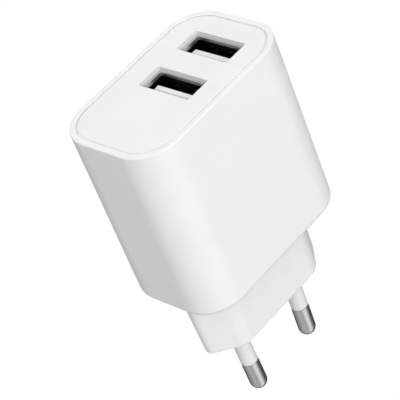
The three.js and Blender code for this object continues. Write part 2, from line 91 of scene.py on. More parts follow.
# %% Camera
AIM = Vector((-0.43, 6.20, 27.33))
SIDE_ANGLE = math.radians(-34.336)
HEIGHT_ANGLE = math.radians(37.634)
ROLL = math.radians(-22.783)
DISTANCE = 412.6

camera_data = bpy.data.cameras.new("camera")
camera_data.lens = 177.31
camera_data.sensor_width = 36.0
camera_data.clip_start = 0.01
camera = bpy.data.objects.new("camera", camera_data)
bpy.context.scene.collection.objects.link(camera)
bpy.context.scene.camera = camera

back = Vector((
    math.sin(SIDE_ANGLE) * math.cos(HEIGHT_ANGLE),
    -math.cos(SIDE_ANGLE) * math.cos(HEIGHT_ANGLE),
    math.sin(HEIGHT_ANGLE),
))
level_right = Vector((math.cos(SIDE_ANGLE), math.sin(SIDE_ANGLE), 0))
level_up = back.cross(level_right)
right = level_right * math.cos(ROLL) + level_up * math.sin(ROLL)
up = back.cross(right)
turn = Matrix((right, up, back)).transposed().to_4x4()
camera.matrix_world = Matrix.Translation((AIM + back * DISTANCE) * MM) @ turn
print("camera at", [round(v / MM, 1) for v in camera.location])

# %% [markdown]
# ## Outlines and lofts
# Every moulding here is a stack of closed outlines: a rounded rectangle for the body and the face
# plate, a long hexagon for the neck. A function that rounds any polygon serves both. Each corner is
# an arc with a fixed number of steps and each side has a few points, two of them close to the arcs,
# so that all outlines of one shape have the same number of points and can be joined by quads. The
# close points also keep the flat faces shaded flat.

# %% Outline of a rounded polygon
ARC_STEPS = 24
SIDE_SHARES = (0.03, 0.35, 0.65, 0.97)


def rounded_outline(corners, radii, steps=ARC_STEPS, shares=SIDE_SHARES):
    """Points of a polygon with an arc of its own radius at each corner, counterclockwise."""
    arcs = []
    count = len(corners)
    for i, corner in enumerate(corners):
        point = Vector(corner)
        before = (Vector(corners[i - 1]) - point).normalized()
        after = (Vector(corners[(i + 1) % count]) - point).normalized()
        half = math.acos(max(-1, min(1, before.dot(after)))) / 2
        centre = point + (before + after).normalized() * (radii[i] / math.sin(half))
        start = point + before * (radii[i] / math.tan(half)) - centre
        sweep = math.pi - 2 * half
        first = math.atan2(start.y, start.x)
        angles = [first + sweep * k / steps for k in range(steps + 1)]
        arcs.append([centre + Vector((math.cos(a), math.sin(a))) * radii[i] for a in angles])
    points = []
    for i, arc in enumerate(arcs):
        points += arc
        start, end = arc[-1], arcs[(i + 1) % count][0]
        points += [start.lerp(end, share) for share in shares]
    return points


def rectangle(half_x, half_y, radius, x=0.0, y=0.0, **options):
    """A rounded rectangle about a middle point."""
    signs = ((-1, -1), (1, -1), (1, 1), (-1, 1))
    corners = [(x + a * half_x, y + b * half_y) for a, b in signs]
    return rounded_outline(corners, [radius] * 4, **options)


def level(points, z):
    """Sets a flat outline at a height."""
    return [Vector((p.x, p.y, z)) for p in points]


print("points round the body", len(rectangle(*BODY_HALF, BODY_RADIUS)))

# %% [markdown]
# ## Skins over outlines
# A loft joins a stack of outlines by quads, which suits anything moulded. Blender can bridge edge
# loops too, but bmesh keeps the order of the points, so every quad sits where the section says.
# Recalculated normals then make every face point outwards.

# %% Lofts
def link(name, mesh_or_bm):
    """Puts a mesh, or a bmesh, into the scene as a new object."""
    mesh = mesh_or_bm
    if isinstance(mesh_or_bm, bmesh.types.BMesh):
        mesh = bpy.data.meshes.new(name)
        mesh_or_bm.to_mesh(mesh)
        mesh_or_bm.free()
    thing = bpy.data.objects.new(name, mesh)
    bpy.context.scene.collection.objects.link(thing)
    return thing


def loft(name, rings, ring_closed=False):
    """Joins equal rings by quads. The ends get a cap each, or they meet if ring_closed."""
    bm = bmesh.new()
    rows = [[bm.verts.new(p * MM) for p in ring] for ring in rings]
    pairs = list(zip(rows, rows[1:]))
    if ring_closed:
        pairs.append((rows[-1], rows[0]))
    for low_row, high_row in pairs:
        for i in range(len(low_row)):
            j = (i + 1) % len(low_row)
            bm.faces.new((low_row[i], low_row[j], high_row[j], high_row[i]))
    if not ring_closed:
        bm.faces.new(list(reversed(rows[0])))
        bm.faces.new(rows[-1])
    bmesh.ops.recalc_face_normals(bm, faces=bm.faces)
    return link(name, bm)


print("loft helpers:", link.__name__, loft.__name__)

# %% [markdown]
# ## Turned parts and blocks
# A lathe swings a profile of radius and height about an axis. A Screw modifier could do it, but
# here a point on the axis stays a single point, so pins and cans close neatly at their ends. Plain
# blocks serve for ribs and for cutting.

# %% Turned parts and blocks
ON_AXIS = 1e-6


def revolve(name, profile, steps=64, closed=False):
    """Turns [radius, z] points about the Z axis. An open profile starts and ends on the axis."""
    bm = bmesh.new()
    rows = []
    for radius, z in profile:
        if radius < ON_AXIS:
            rows.append([bm.verts.new(Vector((0, 0, z)) * MM)])
            continue
        angles = [2 * math.pi * k / steps for k in range(steps)]
        ring = [Vector((radius * math.cos(a), radius * math.sin(a), z)) for a in angles]
        rows.append([bm.verts.new(p * MM) for p in ring])
    pairs = list(zip(rows, rows[1:]))
    if closed:
        pairs.append((rows[-1], rows[0]))
    for low_row, high_row in pairs:
        for i in range(steps):
            j = (i + 1) % steps
            corners = [low_row[i % len(low_row)], low_row[j % len(low_row)]]
            corners += [high_row[j % len(high_row)], high_row[i % len(high_row)]]
            bm.faces.new(list(dict.fromkeys(corners)))
    bmesh.ops.recalc_face_normals(bm, faces=bm.faces)
    return link(name, bm)


def arc_points(centre, radius, start, end, steps):
    """Points of an arc in a profile, from one angle to another, in degrees."""
    angles = [math.radians(start + (end - start) * k / steps) for k in range(steps + 1)]
    return [(centre[0] + radius * math.cos(a), centre[1] + radius * math.sin(a)) for a in angles]


def cuboid(name, low, high):
    """A block between two corners."""
    bm = bmesh.new()
    bmesh.ops.create_cube(bm, size=1)
    size = (Vector(high) - Vector(low)) * MM
    bmesh.ops.scale(bm, vec=size, verts=bm.verts)
    bmesh.ops.translate(bm, vec=(Vector(high) + Vector(low)) / 2 * MM, verts=bm.verts)
    return link(name, bm)


print("shapes:", ", ".join(shape.__name__ for shape in (revolve, cuboid)))

# %% [markdown]
# ## Cutting and rounding
# Holes and ribs come from boolean modifiers with the exact solver, and edge rounds from a bevel
# limited by angle. Each modifier is applied at once, so the next step works on plain faces.

# %% Cutting, joining and rounding
def baked(thing):
    """Applies the modifiers by taking the evaluated mesh, and removes them."""
    graph = bpy.context.evaluated_depsgraph_get()
    graph.update()
    mesh = bpy.data.meshes.new_from_object(thing.evaluated_get(graph))
    thing.modifiers.clear()
    old = thing.data
    thing.data = mesh
    bpy.data.meshes.remove(old)
    mesh.name = thing.name
    return thing


def combine(thing, tools, operation):
    """Cuts the tools from a piece, or joins them to it, and throws the tools away."""
    for tool in tools:
        step = thing.modifiers.new("combine", "BOOLEAN")
        step.operation = operation
        step.solver = "EXACT"
        step.object = tool
        baked(thing)
        bpy.data.objects.remove(tool)
    return thing


def soften(thing, width, segments=3, angle=40):
    """Rounds the edges sharper than an angle."""
    step = thing.modifiers.new("soften", "BEVEL")
    step.width = width * MM
    step.segments = segments
    step.limit_method = "ANGLE"
    step.angle_limit = math.radians(angle)
    step.harden_normals = False
    return baked(thing)


print("operations:", baked.__name__, combine.__name__, soften.__name__)

# %% [markdown]
# ## Shading and finishing
# Weighted normals let the large flat faces decide the shading and keep the rounds soft. A finished
# piece then rides on the one body that the charger has, and stands for its nodes.

# %% Shading and finishing
def shade(thing, angle=32):
    """Smooth shading, split at sharp edges, with the large faces leading the normals."""
    mesh = thing.data
    mesh.shade_smooth()
    mesh.set_sharp_from_angle(angle=math.radians(angle))
    step = thing.modifiers.new("normals", "WEIGHTED_NORMAL")
    step.keep_sharp = True
    return baked(thing)


def place(thing, matrix):
    """Moves a mesh, not its object, so that the object stays at the origin."""
    thing.data.transform(matrix)
    return thing


def finish_piece(thing, material, slot, *nodes):
    """Gives a piece its surface and body, and lets it stand for nodes of the frame. The slot is not
    used.
    """
    thing.data.materials.clear()
    thing.data.materials.append(material)
    shade(thing)
    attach(thing, "root")
    if nodes:
        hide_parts(*nodes)
    print(thing.name, "faces", len(thing.data.polygons))
    return thing


# %% [markdown]
# ## Repeating things with Geometry Nodes
# Contacts, spring fingers, chip leads and solder pads stand in rows, and a choke's wire runs in a
# coil. Two small node trees make them. The row tree puts a copy of a mesh on every point of a line.
# The coil tree sweeps a round wire along a helix. Both end in Realize Instances and Set Material, so
# the result can be kept as a plain mesh. An Array modifier could make a row too, but a tree keeps
# its sizes as named inputs, so the same row serves a 2.5 mm lead and a 2.3 mm contact.

# %% Starting and ending a tree
def new_tree(name, numbers):
    """A Geometry Nodes tree with named inputs, and its node and link lists."""
    tree = bpy.data.node_groups.new(name, "GeometryNodeTree")
    tree.interface.new_socket("Geometry", in_out="INPUT", socket_type="NodeSocketGeometry")
    for label, kind in numbers:
        tree.interface.new_socket(label, in_out="INPUT", socket_type=kind)
    tree.interface.new_socket("Surface", in_out="INPUT", socket_type="NodeSocketMaterial")
    tree.interface.new_socket("Geometry", in_out="OUTPUT", socket_type="NodeSocketGeometry")
    return tree, tree.nodes, tree.links, tree.nodes.new("NodeGroupInput").outputs


def end_tree(tree, geometry, inputs):
    """Realize Instances, Set Material and the output."""
    real = tree.nodes.new("GeometryNodeRealizeInstances")
    surface = tree.nodes.new("GeometryNodeSetMaterial")
    out = tree.nodes.new("NodeGroupOutput")
    tree.links.new(geometry, real.inputs["Geometry"])
    tree.links.new(real.outputs["Geometry"], surface.inputs["Geometry"])
    tree.links.new(inputs["Surface"], surface.inputs["Material"])
    tree.links.new(surface.outputs["Geometry"], out.inputs["Geometry"])


print("tree helpers:", new_tree.__name__, end_tree.__name__)

# %% Row tree and coil tree
row_tree, nodes, links, inputs = new_tree("row", [
    ("Count", "NodeSocketInt"), ("Start", "NodeSocketVector"), ("Step", "NodeSocketVector")])
line = nodes.new("GeometryNodeMeshLine")
copies = nodes.new("GeometryNodeInstanceOnPoints")
links.new(inputs["Count"], line.inputs["Count"])
links.new(inputs["Start"], line.inputs["Start Location"])
links.new(inputs["Step"], line.inputs["Offset"])
links.new(line.outputs["Mesh"], copies.inputs["Points"])
links.new(inputs["Geometry"], copies.inputs["Instance"])
end_tree(row_tree, copies.outputs["Instances"], inputs)

POINTS_PER_TURN = 24
WIRE_SIDES = 10
coil_tree, nodes, links, inputs = new_tree("coil", [
    ("Turns", "NodeSocketFloat"), ("Radius", "NodeSocketFloat"),
    ("Height", "NodeSocketFloat"), ("Wire Radius", "NodeSocketFloat")])
helix = nodes.new("GeometryNodeCurveSpiral")
helix.inputs["Resolution"].default_value = POINTS_PER_TURN
wire = nodes.new("GeometryNodeCurvePrimitiveCircle")
wire.inputs["Resolution"].default_value = WIRE_SIDES
sweep = nodes.new("GeometryNodeCurveToMesh")
sweep.inputs["Fill Caps"].default_value = True
links.new(inputs["Turns"], helix.inputs["Rotations"])
links.new(inputs["Radius"], helix.inputs["Start Radius"])
links.new(inputs["Radius"], helix.inputs["End Radius"])
links.new(inputs["Height"], helix.inputs["Height"])
links.new(inputs["Wire Radius"], wire.inputs["Radius"])
links.new(helix.outputs["Curve"], sweep.inputs["Curve"])
links.new(wire.outputs["Curve"], sweep.inputs["Profile Curve"])
end_tree(coil_tree, sweep.outputs["Mesh"], inputs)
print("trees", [tree.name for tree in bpy.data.node_groups])


# %% Using a tree
def grown(thing, tree, surface, **values):
    """Runs a tree on an object and keeps the result. Its inputs are set by socket identifier."""
    step = thing.modifiers.new("grow", "NODES")
    step.node_group = tree
    values["Surface"] = surface
    for item in tree.interface.items_tree:
        name = item.name.replace(" ", "_")
        if item.in_out == "INPUT" and name in values:
            step[item.identifier] = values[name]
    return baked(thing)


def row(thing, surface, count, start, step):
    """Copies a mesh along a line, in millimetres."""
    start, step = Vector(start) * MM, Vector(step) * MM
    return grown(thing, row_tree, surface, Count=count, Start=start, Step=step)


print("the row tree's sockets:", [item.name for item in row_tree.interface.items_tree])

# %% [markdown]
# ## Surfaces
# All of the plastics are the same kind of surface: a base colour that drifts by a percent or so, a
# roughness that varies slowly where the mould is more or less polished, and a very fine grain from
# the spark-eroded mould. One function makes them, with noise on Object coordinates, which are in
# metres here, so a scale of 4000 gives a grain of a quarter of a millimetre.

# %% Node helpers
def new_surface(name):
    """A material with a Principled shader, and its node and link lists."""
    material = bpy.data.materials.new(name)
    material.use_nodes = True
    nodes = material.node_tree.nodes
    return material, nodes, material.node_tree.links, nodes["Principled BSDF"]


def wired(nodes, links, kind, values, sources, operation=None):
    """A node with some of its inputs set to constants and others linked to outputs."""
    node = nodes.new(kind)
    if operation:
        node.operation = operation
    for label, value in values.items():
        node.inputs[label].default_value = value
    for label, source in sources.items():
        links.new(source, node.inputs[label])
    return node


def noise(nodes, links, scale, detail=3.0, stretch=None):
    """A noise on Object coordinates, stretched along an axis if asked."""
    source = nodes.new("ShaderNodeTexCoord").outputs["Object"]
    if stretch is not None:
        mapping = wired(nodes, links, "ShaderNodeMapping", {"Scale": stretch}, {"Vector": source})
        source = mapping.outputs["Vector"]
    values = {"Scale": scale, "Detail": detail}
    return wired(nodes, links, "ShaderNodeTexNoise", values, {"Vector": source})


def spread(nodes, links, source, low, high):
    """Maps a noise's middle range to the values between low and high."""
    values = {"From Min": 0.3, "From Max": 0.7, "To Min": low, "To Max": high}
    return wired(nodes, links, "ShaderNodeMapRange", values, {"Value": source}).outputs["Result"]


def blend_colours(nodes, links, source, first, second):
    """A colour between two, chosen by a noise."""
    ramp = nodes.new("ShaderNodeValToRGB")
    ramp.color_ramp.elements[0].position = 0.35
    ramp.color_ramp.elements[0].color = (*first, 1)
    ramp.color_ramp.elements[1].position = 0.65
    ramp.color_ramp.elements[1].color = (*second, 1)
    links.new(source, ramp.inputs["Fac"])
    return ramp.outputs["Color"]


def bump(nodes, links, shader, source, depth):
    """A fine relief, its depth in metres."""
    values = {"Strength": 1.0, "Distance": depth}
    relief = wired(nodes, links, "ShaderNodeBump", values, {"Height": source})
    links.new(relief.outputs["Normal"], shader.inputs["Normal"])


print("texture helpers:", noise.__name__, spread.__name__, blend_colours.__name__, bump.__name__)

# %% Moulded plastic and plated metal
DRIFT_SCALE = 120.0
POLISH_SCALE = 700.0
POLISH_SPREAD = 0.03
STAIN_SCALE = 300.0
STAIN = 0.94


def plastic(name, colour, roughness, drift=0.012, grain=4000.0, depth=1.2e-6):
    """A moulded plastic: its drift is a share of the colour, its depth is in metres."""
    material, nodes, links, shader = new_surface(name)
    slow = noise(nodes, links, DRIFT_SCALE)
    paler = tuple(min(1.0, c * (1 + drift)) for c in colour)
    darker = tuple(c * (1 - drift) for c in colour)
    base = blend_colours(nodes, links, slow.outputs["Fac"], darker, paler)
    links.new(base, shader.inputs["Base Color"])
    middle = noise(nodes, links, POLISH_SCALE)
    low, high = roughness - POLISH_SPREAD, roughness + POLISH_SPREAD
    links.new(spread(nodes, links, middle.outputs["Fac"], low, high), shader.inputs["Roughness"])
    fine = noise(nodes, links, grain, detail=2.0)
    bump(nodes, links, shader, fine.outputs["Fac"], depth)
    shader.inputs["IOR"].default_value = 1.55
    return material


def metal(name, colour, roughness, stretch, depth=0.6e-6, grain=2500.0):
    """A plated or bare metal with fine marks drawn out along one direction."""
    material, nodes, links, shader = new_surface(name)
    shader.inputs["Metallic"].default_value = 1.0
    slow = noise(nodes, links, STAIN_SCALE)
    darker = tuple(c * STAIN for c in colour)
    base = blend_colours(nodes, links, slow.outputs["Fac"], darker, colour)
    links.new(base, shader.inputs["Base Color"])
    marks = noise(nodes, links, grain, detail=4.0, stretch=stretch)
    low, high = roughness * 0.8, roughness * 1.25
    links.new(spread(nodes, links, marks.outputs["Fac"], low, high), shader.inputs["Roughness"])
    bump(nodes, links, shader, marks.outputs["Fac"], depth)
    return material


print("kinds of surface:", plastic.__name__, metal.__name__)

# %% [markdown]
# ## The palette
# The outer mouldings are a satin white that is a touch warm. The pins are nickel on brass, ground
# along their length, so their marks are drawn out along Z. Inside, the colours are those of the
# trade: a green board, black chips, grey ferrite, yellow tape and a blue safety capacitor.

# %% The surfaces
housing_white = plastic("satin_white_housing", (0.872, 0.872, 0.869), 0.6)
plate_white = plastic("satin_white_plate", (0.845, 0.845, 0.843), 0.5)
neck_white = plastic("satin_white_neck", (0.865, 0.865, 0.862), 0.5)
sleeve_grey = plastic("light_grey_sleeve", (0.83, 0.83, 0.83), 0.45, grain=6000.0, depth=0.8e-6)
insulator_white = plastic("white_insulator", (0.84, 0.84, 0.83), 0.45)
pin_nickel = metal("polished_nickel", (0.66, 0.66, 0.66), 0.2, (12, 12, 1))
# The near-black steel is painted shade, standing in for the dark deep inside the sockets.
shell_steel_painted_shade = metal("oxide_dark_steel", (0.035, 0.035, 0.038), 0.4, (1, 1, 8))
contact_gold = metal("gold_flashed_brass", (0.83, 0.62, 0.30), 0.24, (1, 1, 10))
board_green = plastic("green_solder_mask", (0.02, 0.16, 0.06), 0.35, drift=0.1, grain=1500.0)
chip_black = plastic("black_moulded_epoxy", (0.02, 0.02, 0.022), 0.55, drift=0.1)
can_sleeve = plastic("dark_shrink_sleeve", (0.02, 0.022, 0.03), 0.3, drift=0.1)
ferrite_grey = plastic("sintered_ferrite", (0.06, 0.06, 0.065), 0.7, drift=0.15, grain=5000.0,
                       depth=5e-6)
tape_yellow = plastic("yellow_polyester_tape", (0.75, 0.48, 0.04), 0.25, drift=0.05)
bobbin_black = plastic("black_phenolic", (0.035, 0.03, 0.028), 0.5, drift=0.1)
disc_blue = plastic("blue_epoxy_coating", (0.02, 0.09, 0.38), 0.3, drift=0.08)
resistor_green = plastic("grey_green_cement", (0.16, 0.27, 0.20), 0.75, drift=0.1, depth=6e-6)
copper_enamel = plastic("enamelled_copper", (0.42, 0.13, 0.05), 0.25, drift=0.08)
print("surfaces", len(bpy.data.materials))

# %% [markdown]
# ## The sockets' steel: painted shade and a painted light band
# The shell is painted near black, a painted shade for the dark deep inside the socket, and a
# painted light band just under a millimetre deep runs round its mouth, where the light reaches in.
# The colour changes with height, so the steel reads the Z of its Object coordinates, which here is
# the height in the frame, and a narrow Map Range turns it into a crisp border.

# %% Painted light band on the sockets' steel
# The bright band round each mouth is painted light, where the light reaches into the socket.
PAINTED_LIGHT_DEPTH = 0.9
PAINTED_LIGHT_COLOUR = (0.78, 0.78, 0.79, 1)
PAINTED_LIGHT_BORDER = 0.05
painted_light_edge = box_mm("usb_shell_1")[1].z - PAINTED_LIGHT_DEPTH
nodes, links = shell_steel_painted_shade.node_tree.nodes, shell_steel_painted_shade.node_tree.links
shader = nodes["Principled BSDF"]
# The near-black base colour is the painted shade of the sockets' deep inside.
painted_shade_colour = shader.inputs["Base Color"].links[0].from_socket
place_in_frame = nodes.new("ShaderNodeTexCoord").outputs["Object"]
height = wired(nodes, links, "ShaderNodeSeparateXYZ", {}, {"Vector": place_in_frame})
limits = {"From Min": (painted_light_edge - PAINTED_LIGHT_BORDER) * MM, "From Max": (painted_light_edge + PAINTED_LIGHT_BORDER) * MM}
border = wired(nodes, links, "ShaderNodeMapRange", limits, {"Value": height.outputs["Z"]})
sources = {"Fac": border.outputs["Result"], "Color1": painted_shade_colour}
# This mix paints the light band over the painted shade, above a set height.
bare = wired(nodes, links, "ShaderNodeMixRGB", {"Color2": PAINTED_LIGHT_COLOUR}, sources)
links.new(bare.outputs["Color"], shader.inputs["Base Color"])
# The printed height is where the painted light band starts.
print("bare lip above", round(painted_light_edge, 2))

# %% [markdown]
# ## Housing
# The housing is one deep cup: a flat bottom with a 1.5 mm round, straight walls, a rim with a small
# round outside and a crisp one inside, a recess for the face plate, and the inner wall down to the
# floor. Walking once round that section, from the middle of the bottom over the rim and down to the
# middle of the floor, gives a list of insets and heights. Each becomes a rounded rectangle, and the
# loft joins them into one closed skin. Extra rings close to the rounds keep the flat walls shaded
# flat. The hole for the neck and the ribs for the board are cut and joined afterwards.

# %% Housing
BOTTOM_ROUND = 1.5
RIM_ROUND = 0.3
GROOVE_ROUND = 0.1
FLAT_EDGE = 0.4
FLOOR_ROUND = 0.5
LEDGE = BODY_TOP - PLATE_THICKNESS - 0.1
FLOOR_TOP = BODY_BOTTOM + FLOOR


def body_ring(inset, z):
    """The body's outline, drawn in by an inset."""
    half_x, half_y = BODY_HALF
    return level(rectangle(half_x - inset, half_y - inset, BODY_RADIUS - inset), z)


def recess_ring(inset, z):
    """The outline of the recess that takes the face plate and its groove."""
    grow = GROOVE - inset
    half_x, half_y = PLATE_HALF
    return level(rectangle(half_x + grow, half_y + grow, PLATE_RADIUS + grow), z)


rings = [body_ring(BOTTOM_ROUND + FLAT_EDGE, BODY_BOTTOM)]
bottom_arc = arc_points((BOTTOM_ROUND, BODY_BOTTOM + BOTTOM_ROUND), BOTTOM_ROUND, -90, -180, 8)
rings += [body_ring(inset, z) for inset, z in bottom_arc]
rings += [body_ring(0, BODY_BOTTOM + BOTTOM_ROUND + FLAT_EDGE)]
rings += [body_ring(0, BODY_TOP - RIM_ROUND - FLAT_EDGE)]
rim_arc = arc_points((RIM_ROUND, BODY_TOP - RIM_ROUND), RIM_ROUND, 180, 90, 5)
rings += [body_ring(inset, z) for inset, z in rim_arc]
lip_arc = arc_points((-GROOVE_ROUND, BODY_TOP - GROOVE_ROUND), GROOVE_ROUND, 90, 0, 3)
rings += [recess_ring(inset, z) for inset, z in lip_arc]
floor_cut = FLOOR_ROUND * 0.3
rings += [recess_ring(0, LEDGE), body_ring(WALL, LEDGE), body_ring(WALL, FLOOR_TOP + FLOOR_ROUND)]
rings += [body_ring(WALL + floor_cut, FLOOR_TOP + floor_cut)]
rings += [body_ring(WALL + FLOOR_ROUND, FLOOR_TOP)]
housing = loft("housing_moulding", rings)
print("rings in the housing", len(rings))

# %% [markdown]
# ## The neck's outline
# The plug neck is a long hexagon with 45 degree shoulders, as the recessed wall socket needs. Its
# sides lean out by half a millimetre towards the body, which lets the moulding leave its mould.

# %% Neck outline
NECK_NOSE = 18.6
NECK_HALF_WIDTH = 6.6
NECK_SHOULDER = 12.1
NECK_NOSE_RADIUS = 1.9
NECK_SHOULDER_RADIUS = 5.0
SMALLEST_NOSE = 0.4
NECK_DRAFT = 0.5
NECK_CLEARANCE = 0.25
PAST = 1.0  # how far a cutting tool reaches past a face


def neck_outline(grow):
    """The hexagon, grown outwards by the same amount on every side."""
    nose = NECK_NOSE + grow * math.sqrt(2)
    half = NECK_HALF_WIDTH + grow
    shoulder = NECK_SHOULDER + grow * (math.sqrt(2) - 1)
    corners = [(nose, 0), (shoulder, half), (-shoulder, half)]
    corners += [(-nose, 0), (-shoulder, -half), (shoulder, -half)]
    nose_radius = max(NECK_NOSE_RADIUS + grow, SMALLEST_NOSE)
    radii = [nose_radius, NECK_SHOULDER_RADIUS + grow, NECK_SHOULDER_RADIUS + grow]
    return rounded_outline(corners, radii * 2)


hole_outline = neck_outline(NECK_DRAFT + NECK_CLEARANCE)
hole = loft("neck_hole", [level(hole_outline, z) for z in (BODY_BOTTOM - PAST, FLOOR_TOP + PAST)])
combine(housing, [hole], "DIFFERENCE")
print("neck hole", NECK_NOSE * 2, "by", NECK_HALF_WIDTH * 2)


# %% [markdown]
# ## Board guides
# The upright board slides down between two pairs of ribs on the end walls and rests on the neck. The
# ribs are part of the same moulding, so they are joined to it and reach a little into the wall.

# %% Board guides in the housing
board_low, board_high = box_mm("main_board")
output_low, output_high = box_mm("output_board")
RIB_DEPTH = 0.8
RIB_REACH = 1.3
RIB_ROOT = 0.5
RIB_START = FLOOR_TOP + 2.0
BOARD_GAP = 0.3
ribs = []
for side in (-1, 1):
    wall_face = BODY_HALF[0] - WALL
    ends = sorted((side * (wall_face - RIB_REACH), side * (wall_face + RIB_ROOT)))
    for y in (board_low.y - BOARD_GAP - RIB_DEPTH, board_high.y + BOARD_GAP):
        low = (ends[0], y, RIB_START)
        ribs.append(cuboid("rib", low, (ends[1], y + RIB_DEPTH, output_low.z - BOARD_GAP)))
combine(housing, ribs, "UNION")
finish_piece(housing, housing_white, "housing_white", "housing_shell")

# %% [markdown]
# ## Face plate
# The plate is flat, so it starts as a prism with the two socket openings cut through it and the
# four tabs joined below. A step a fifth of a millimetre down closes the gap round it, so that the
# groove reads as a fine grey line and not as a black crack. Every sharp edge then gets a tiny round,
# which is what catches the light along the groove and round the openings.

# %% Face plate blank
GROOVE_DEPTH = 0.2
STEP = GROOVE - 0.06
plate_bottom = BODY_TOP - PLATE_THICKNESS


def plate_ring(grow, z):
    """The plate's outline, grown outwards."""
    return level(rectangle(PLATE_HALF[0] + grow, PLATE_HALF[1] + grow, PLATE_RADIUS + grow), z)


rings = [plate_ring(0, plate_bottom), plate_ring(STEP, plate_bottom + 0.2)]
rings += [plate_ring(STEP, BODY_TOP - GROOVE_DEPTH), plate_ring(0, BODY_TOP - GROOVE_DEPTH)]
plate_edge = arc_points((-GROOVE_ROUND, BODY_TOP - GROOVE_ROUND), GROOVE_ROUND, 0, 90, 3)
rings += [plate_ring(grow, z) for grow, z in plate_edge]
rings += [plate_ring(-0.5, BODY_TOP)]
plate = loft("face_plate_moulding", rings)
print("plate", round(PLATE_HALF[0] * 2, 2), "by", round(PLATE_HALF[1] * 2, 2))

# %% Socket openings
PORT_HALF = (3.1, 6.95)
PORT_SHIFT = (-0.2, -0.1)
PORT_RADIUS = 0.4
shell_boxes = [box_mm(f"usb_shell_{n}") for n in (1, 2)]
PORTS = [(low.x + high.x) / 2 for low, high in shell_boxes]
PORT_Y = (shell_boxes[0][0].y + shell_boxes[0][1].y) / 2
cutters = []
for x in PORTS:
    place_at = {"x": x + PORT_SHIFT[0], "y": PORT_Y + PORT_SHIFT[1]}
    opening = rectangle(*PORT_HALF, PORT_RADIUS, steps=5, shares=(), **place_at)
    heights = (plate_bottom - PAST, BODY_TOP + PAST)
    cutters.append(loft("opening", [level(opening, z) for z in heights]))
combine(plate, cutters, "DIFFERENCE")
print("sockets at x", [round(x, 2) for x in PORTS])

# %% Tabs of the face plate
TAB_LENGTH = 6.0
TAB_THICKNESS = 1.0
TAB_GAP = 0.3
TAB_PLACES = (-9.5, 9.5)
tab_face = BODY_HALF[1] - WALL - TAB_GAP
tabs = []
for x in TAB_PLACES:
    for side in (-1, 1):
        ends = sorted((side * tab_face, side * (tab_face - TAB_THICKNESS)))
        low = (x - TAB_LENGTH / 2, ends[0], plate_low.z)
        high = (x + TAB_LENGTH / 2, ends[1], BODY_TOP - PLATE_THICKNESS / 2)
        tabs.append(cuboid("tab", low, high))
combine(plate, tabs, "UNION")
soften(plate, 0.08, segments=2, angle=60)
finish_piece(plate, plate_white, "face_plate_white", "face_plate")

# %% [markdown]
# ## Plug neck
# The neck is a second cup, lofted in the same way from the hexagon: a 0.4 mm round at the pin face,
# sides with draft, a flange inside the body, and a hollow down to a thick slab that holds the pins.
# The flange is wider than the hole in the housing, so that pulling the plug can't draw the neck out.

# %% Plug neck
NECK_HEIGHT = BODY_BOTTOM
NECK_TOP = box_mm("plug_neck")[1].z
EDGE_ROUND = 0.4
FLANGE_START = FLOOR_TOP + 0.3
FLANGE = 0.9
SLAB = 6.0
SLAB_ROUND = 0.3
NECK_WALL = 1.5
neck_arc = arc_points((EDGE_ROUND, EDGE_ROUND), EDGE_ROUND, -90, -180, 5)
sections = [(-EDGE_ROUND - 0.3, 0)] + [(-inset, z) for inset, z in neck_arc]
sections += [(NECK_DRAFT * z / NECK_HEIGHT, z) for z in (2 * EDGE_ROUND, NECK_HEIGHT, FLANGE_START)]
sections += [(NECK_DRAFT + FLANGE, z) for z in (FLANGE_START, NECK_TOP)]
sections += [(-NECK_WALL, z) for z in (NECK_TOP, SLAB + SLAB_ROUND)] + [(-NECK_WALL - SLAB_ROUND, SLAB)]
neck = loft("neck_moulding", [level(neck_outline(grow), z) for grow, z in sections])
print("neck height", round(NECK_HEIGHT, 2))

# %% [markdown]
# ## Pins and collars
# The pins are turned brass with a nickel plating, so a profile is turned about the pin's own axis
# and the result is tilted: the pins stand 18.6 mm apart at the face and 17.5 mm apart at the tips,
# which makes them grip. The upper part is necked down, and a light grey collar is moulded on it, so
# that a finger can't touch live metal while the plug is half in. Where the collar ends, the metal
# swells in a gentle taper, because a sharp ledge there would flash like a mirror.

# %% Pin sizes
PIN_AT_FACE = 18.6 / 2
PIN_AT_TIP = 17.5 / 2
PIN_LENGTH = 19.0
PIN_RADIUS = 2.0
CORE_RADIUS = 1.35
STUB = 8.6
SLEEVE_RADIUS = 1.93
SLEEVE_LENGTH = 10.7
SLEEVE_SEAT = 1.6
PIN_TAPER = 0.9
COLLAR_ROUND = 0.2
BORE_GAP = 0.12
PIN_TILT = math.atan((PIN_AT_FACE - PIN_AT_TIP) / PIN_LENGTH)
print("pin tilt in degrees", round(math.degrees(PIN_TILT), 2))


# %% Pin profiles
def along_pin(side):
    """From a pin's own axis to its place: tilted, then moved out from the middle."""
    return Matrix.Translation((side * PIN_AT_FACE * MM, 0, 0)) @ Matrix.Rotation(side * PIN_TILT, 4, "Y")


tip_round = arc_points((0, PIN_RADIUS - PIN_LENGTH), PIN_RADIUS, -90, 0, 14)
metal_end = -SLEEVE_LENGTH - 0.02
taper_start = metal_end - PIN_TAPER
pin_profile = [(0, -PIN_LENGTH)] + tip_round[1:]
pin_profile += [(PIN_RADIUS, taper_start - 0.5), (PIN_RADIUS, taper_start)]
pin_profile += [(SLEEVE_RADIUS + 0.01, metal_end), (CORE_RADIUS, metal_end)]
pin_profile += [(CORE_RADIUS, STUB - 0.2), (CORE_RADIUS - 0.2, STUB), (0, STUB)]

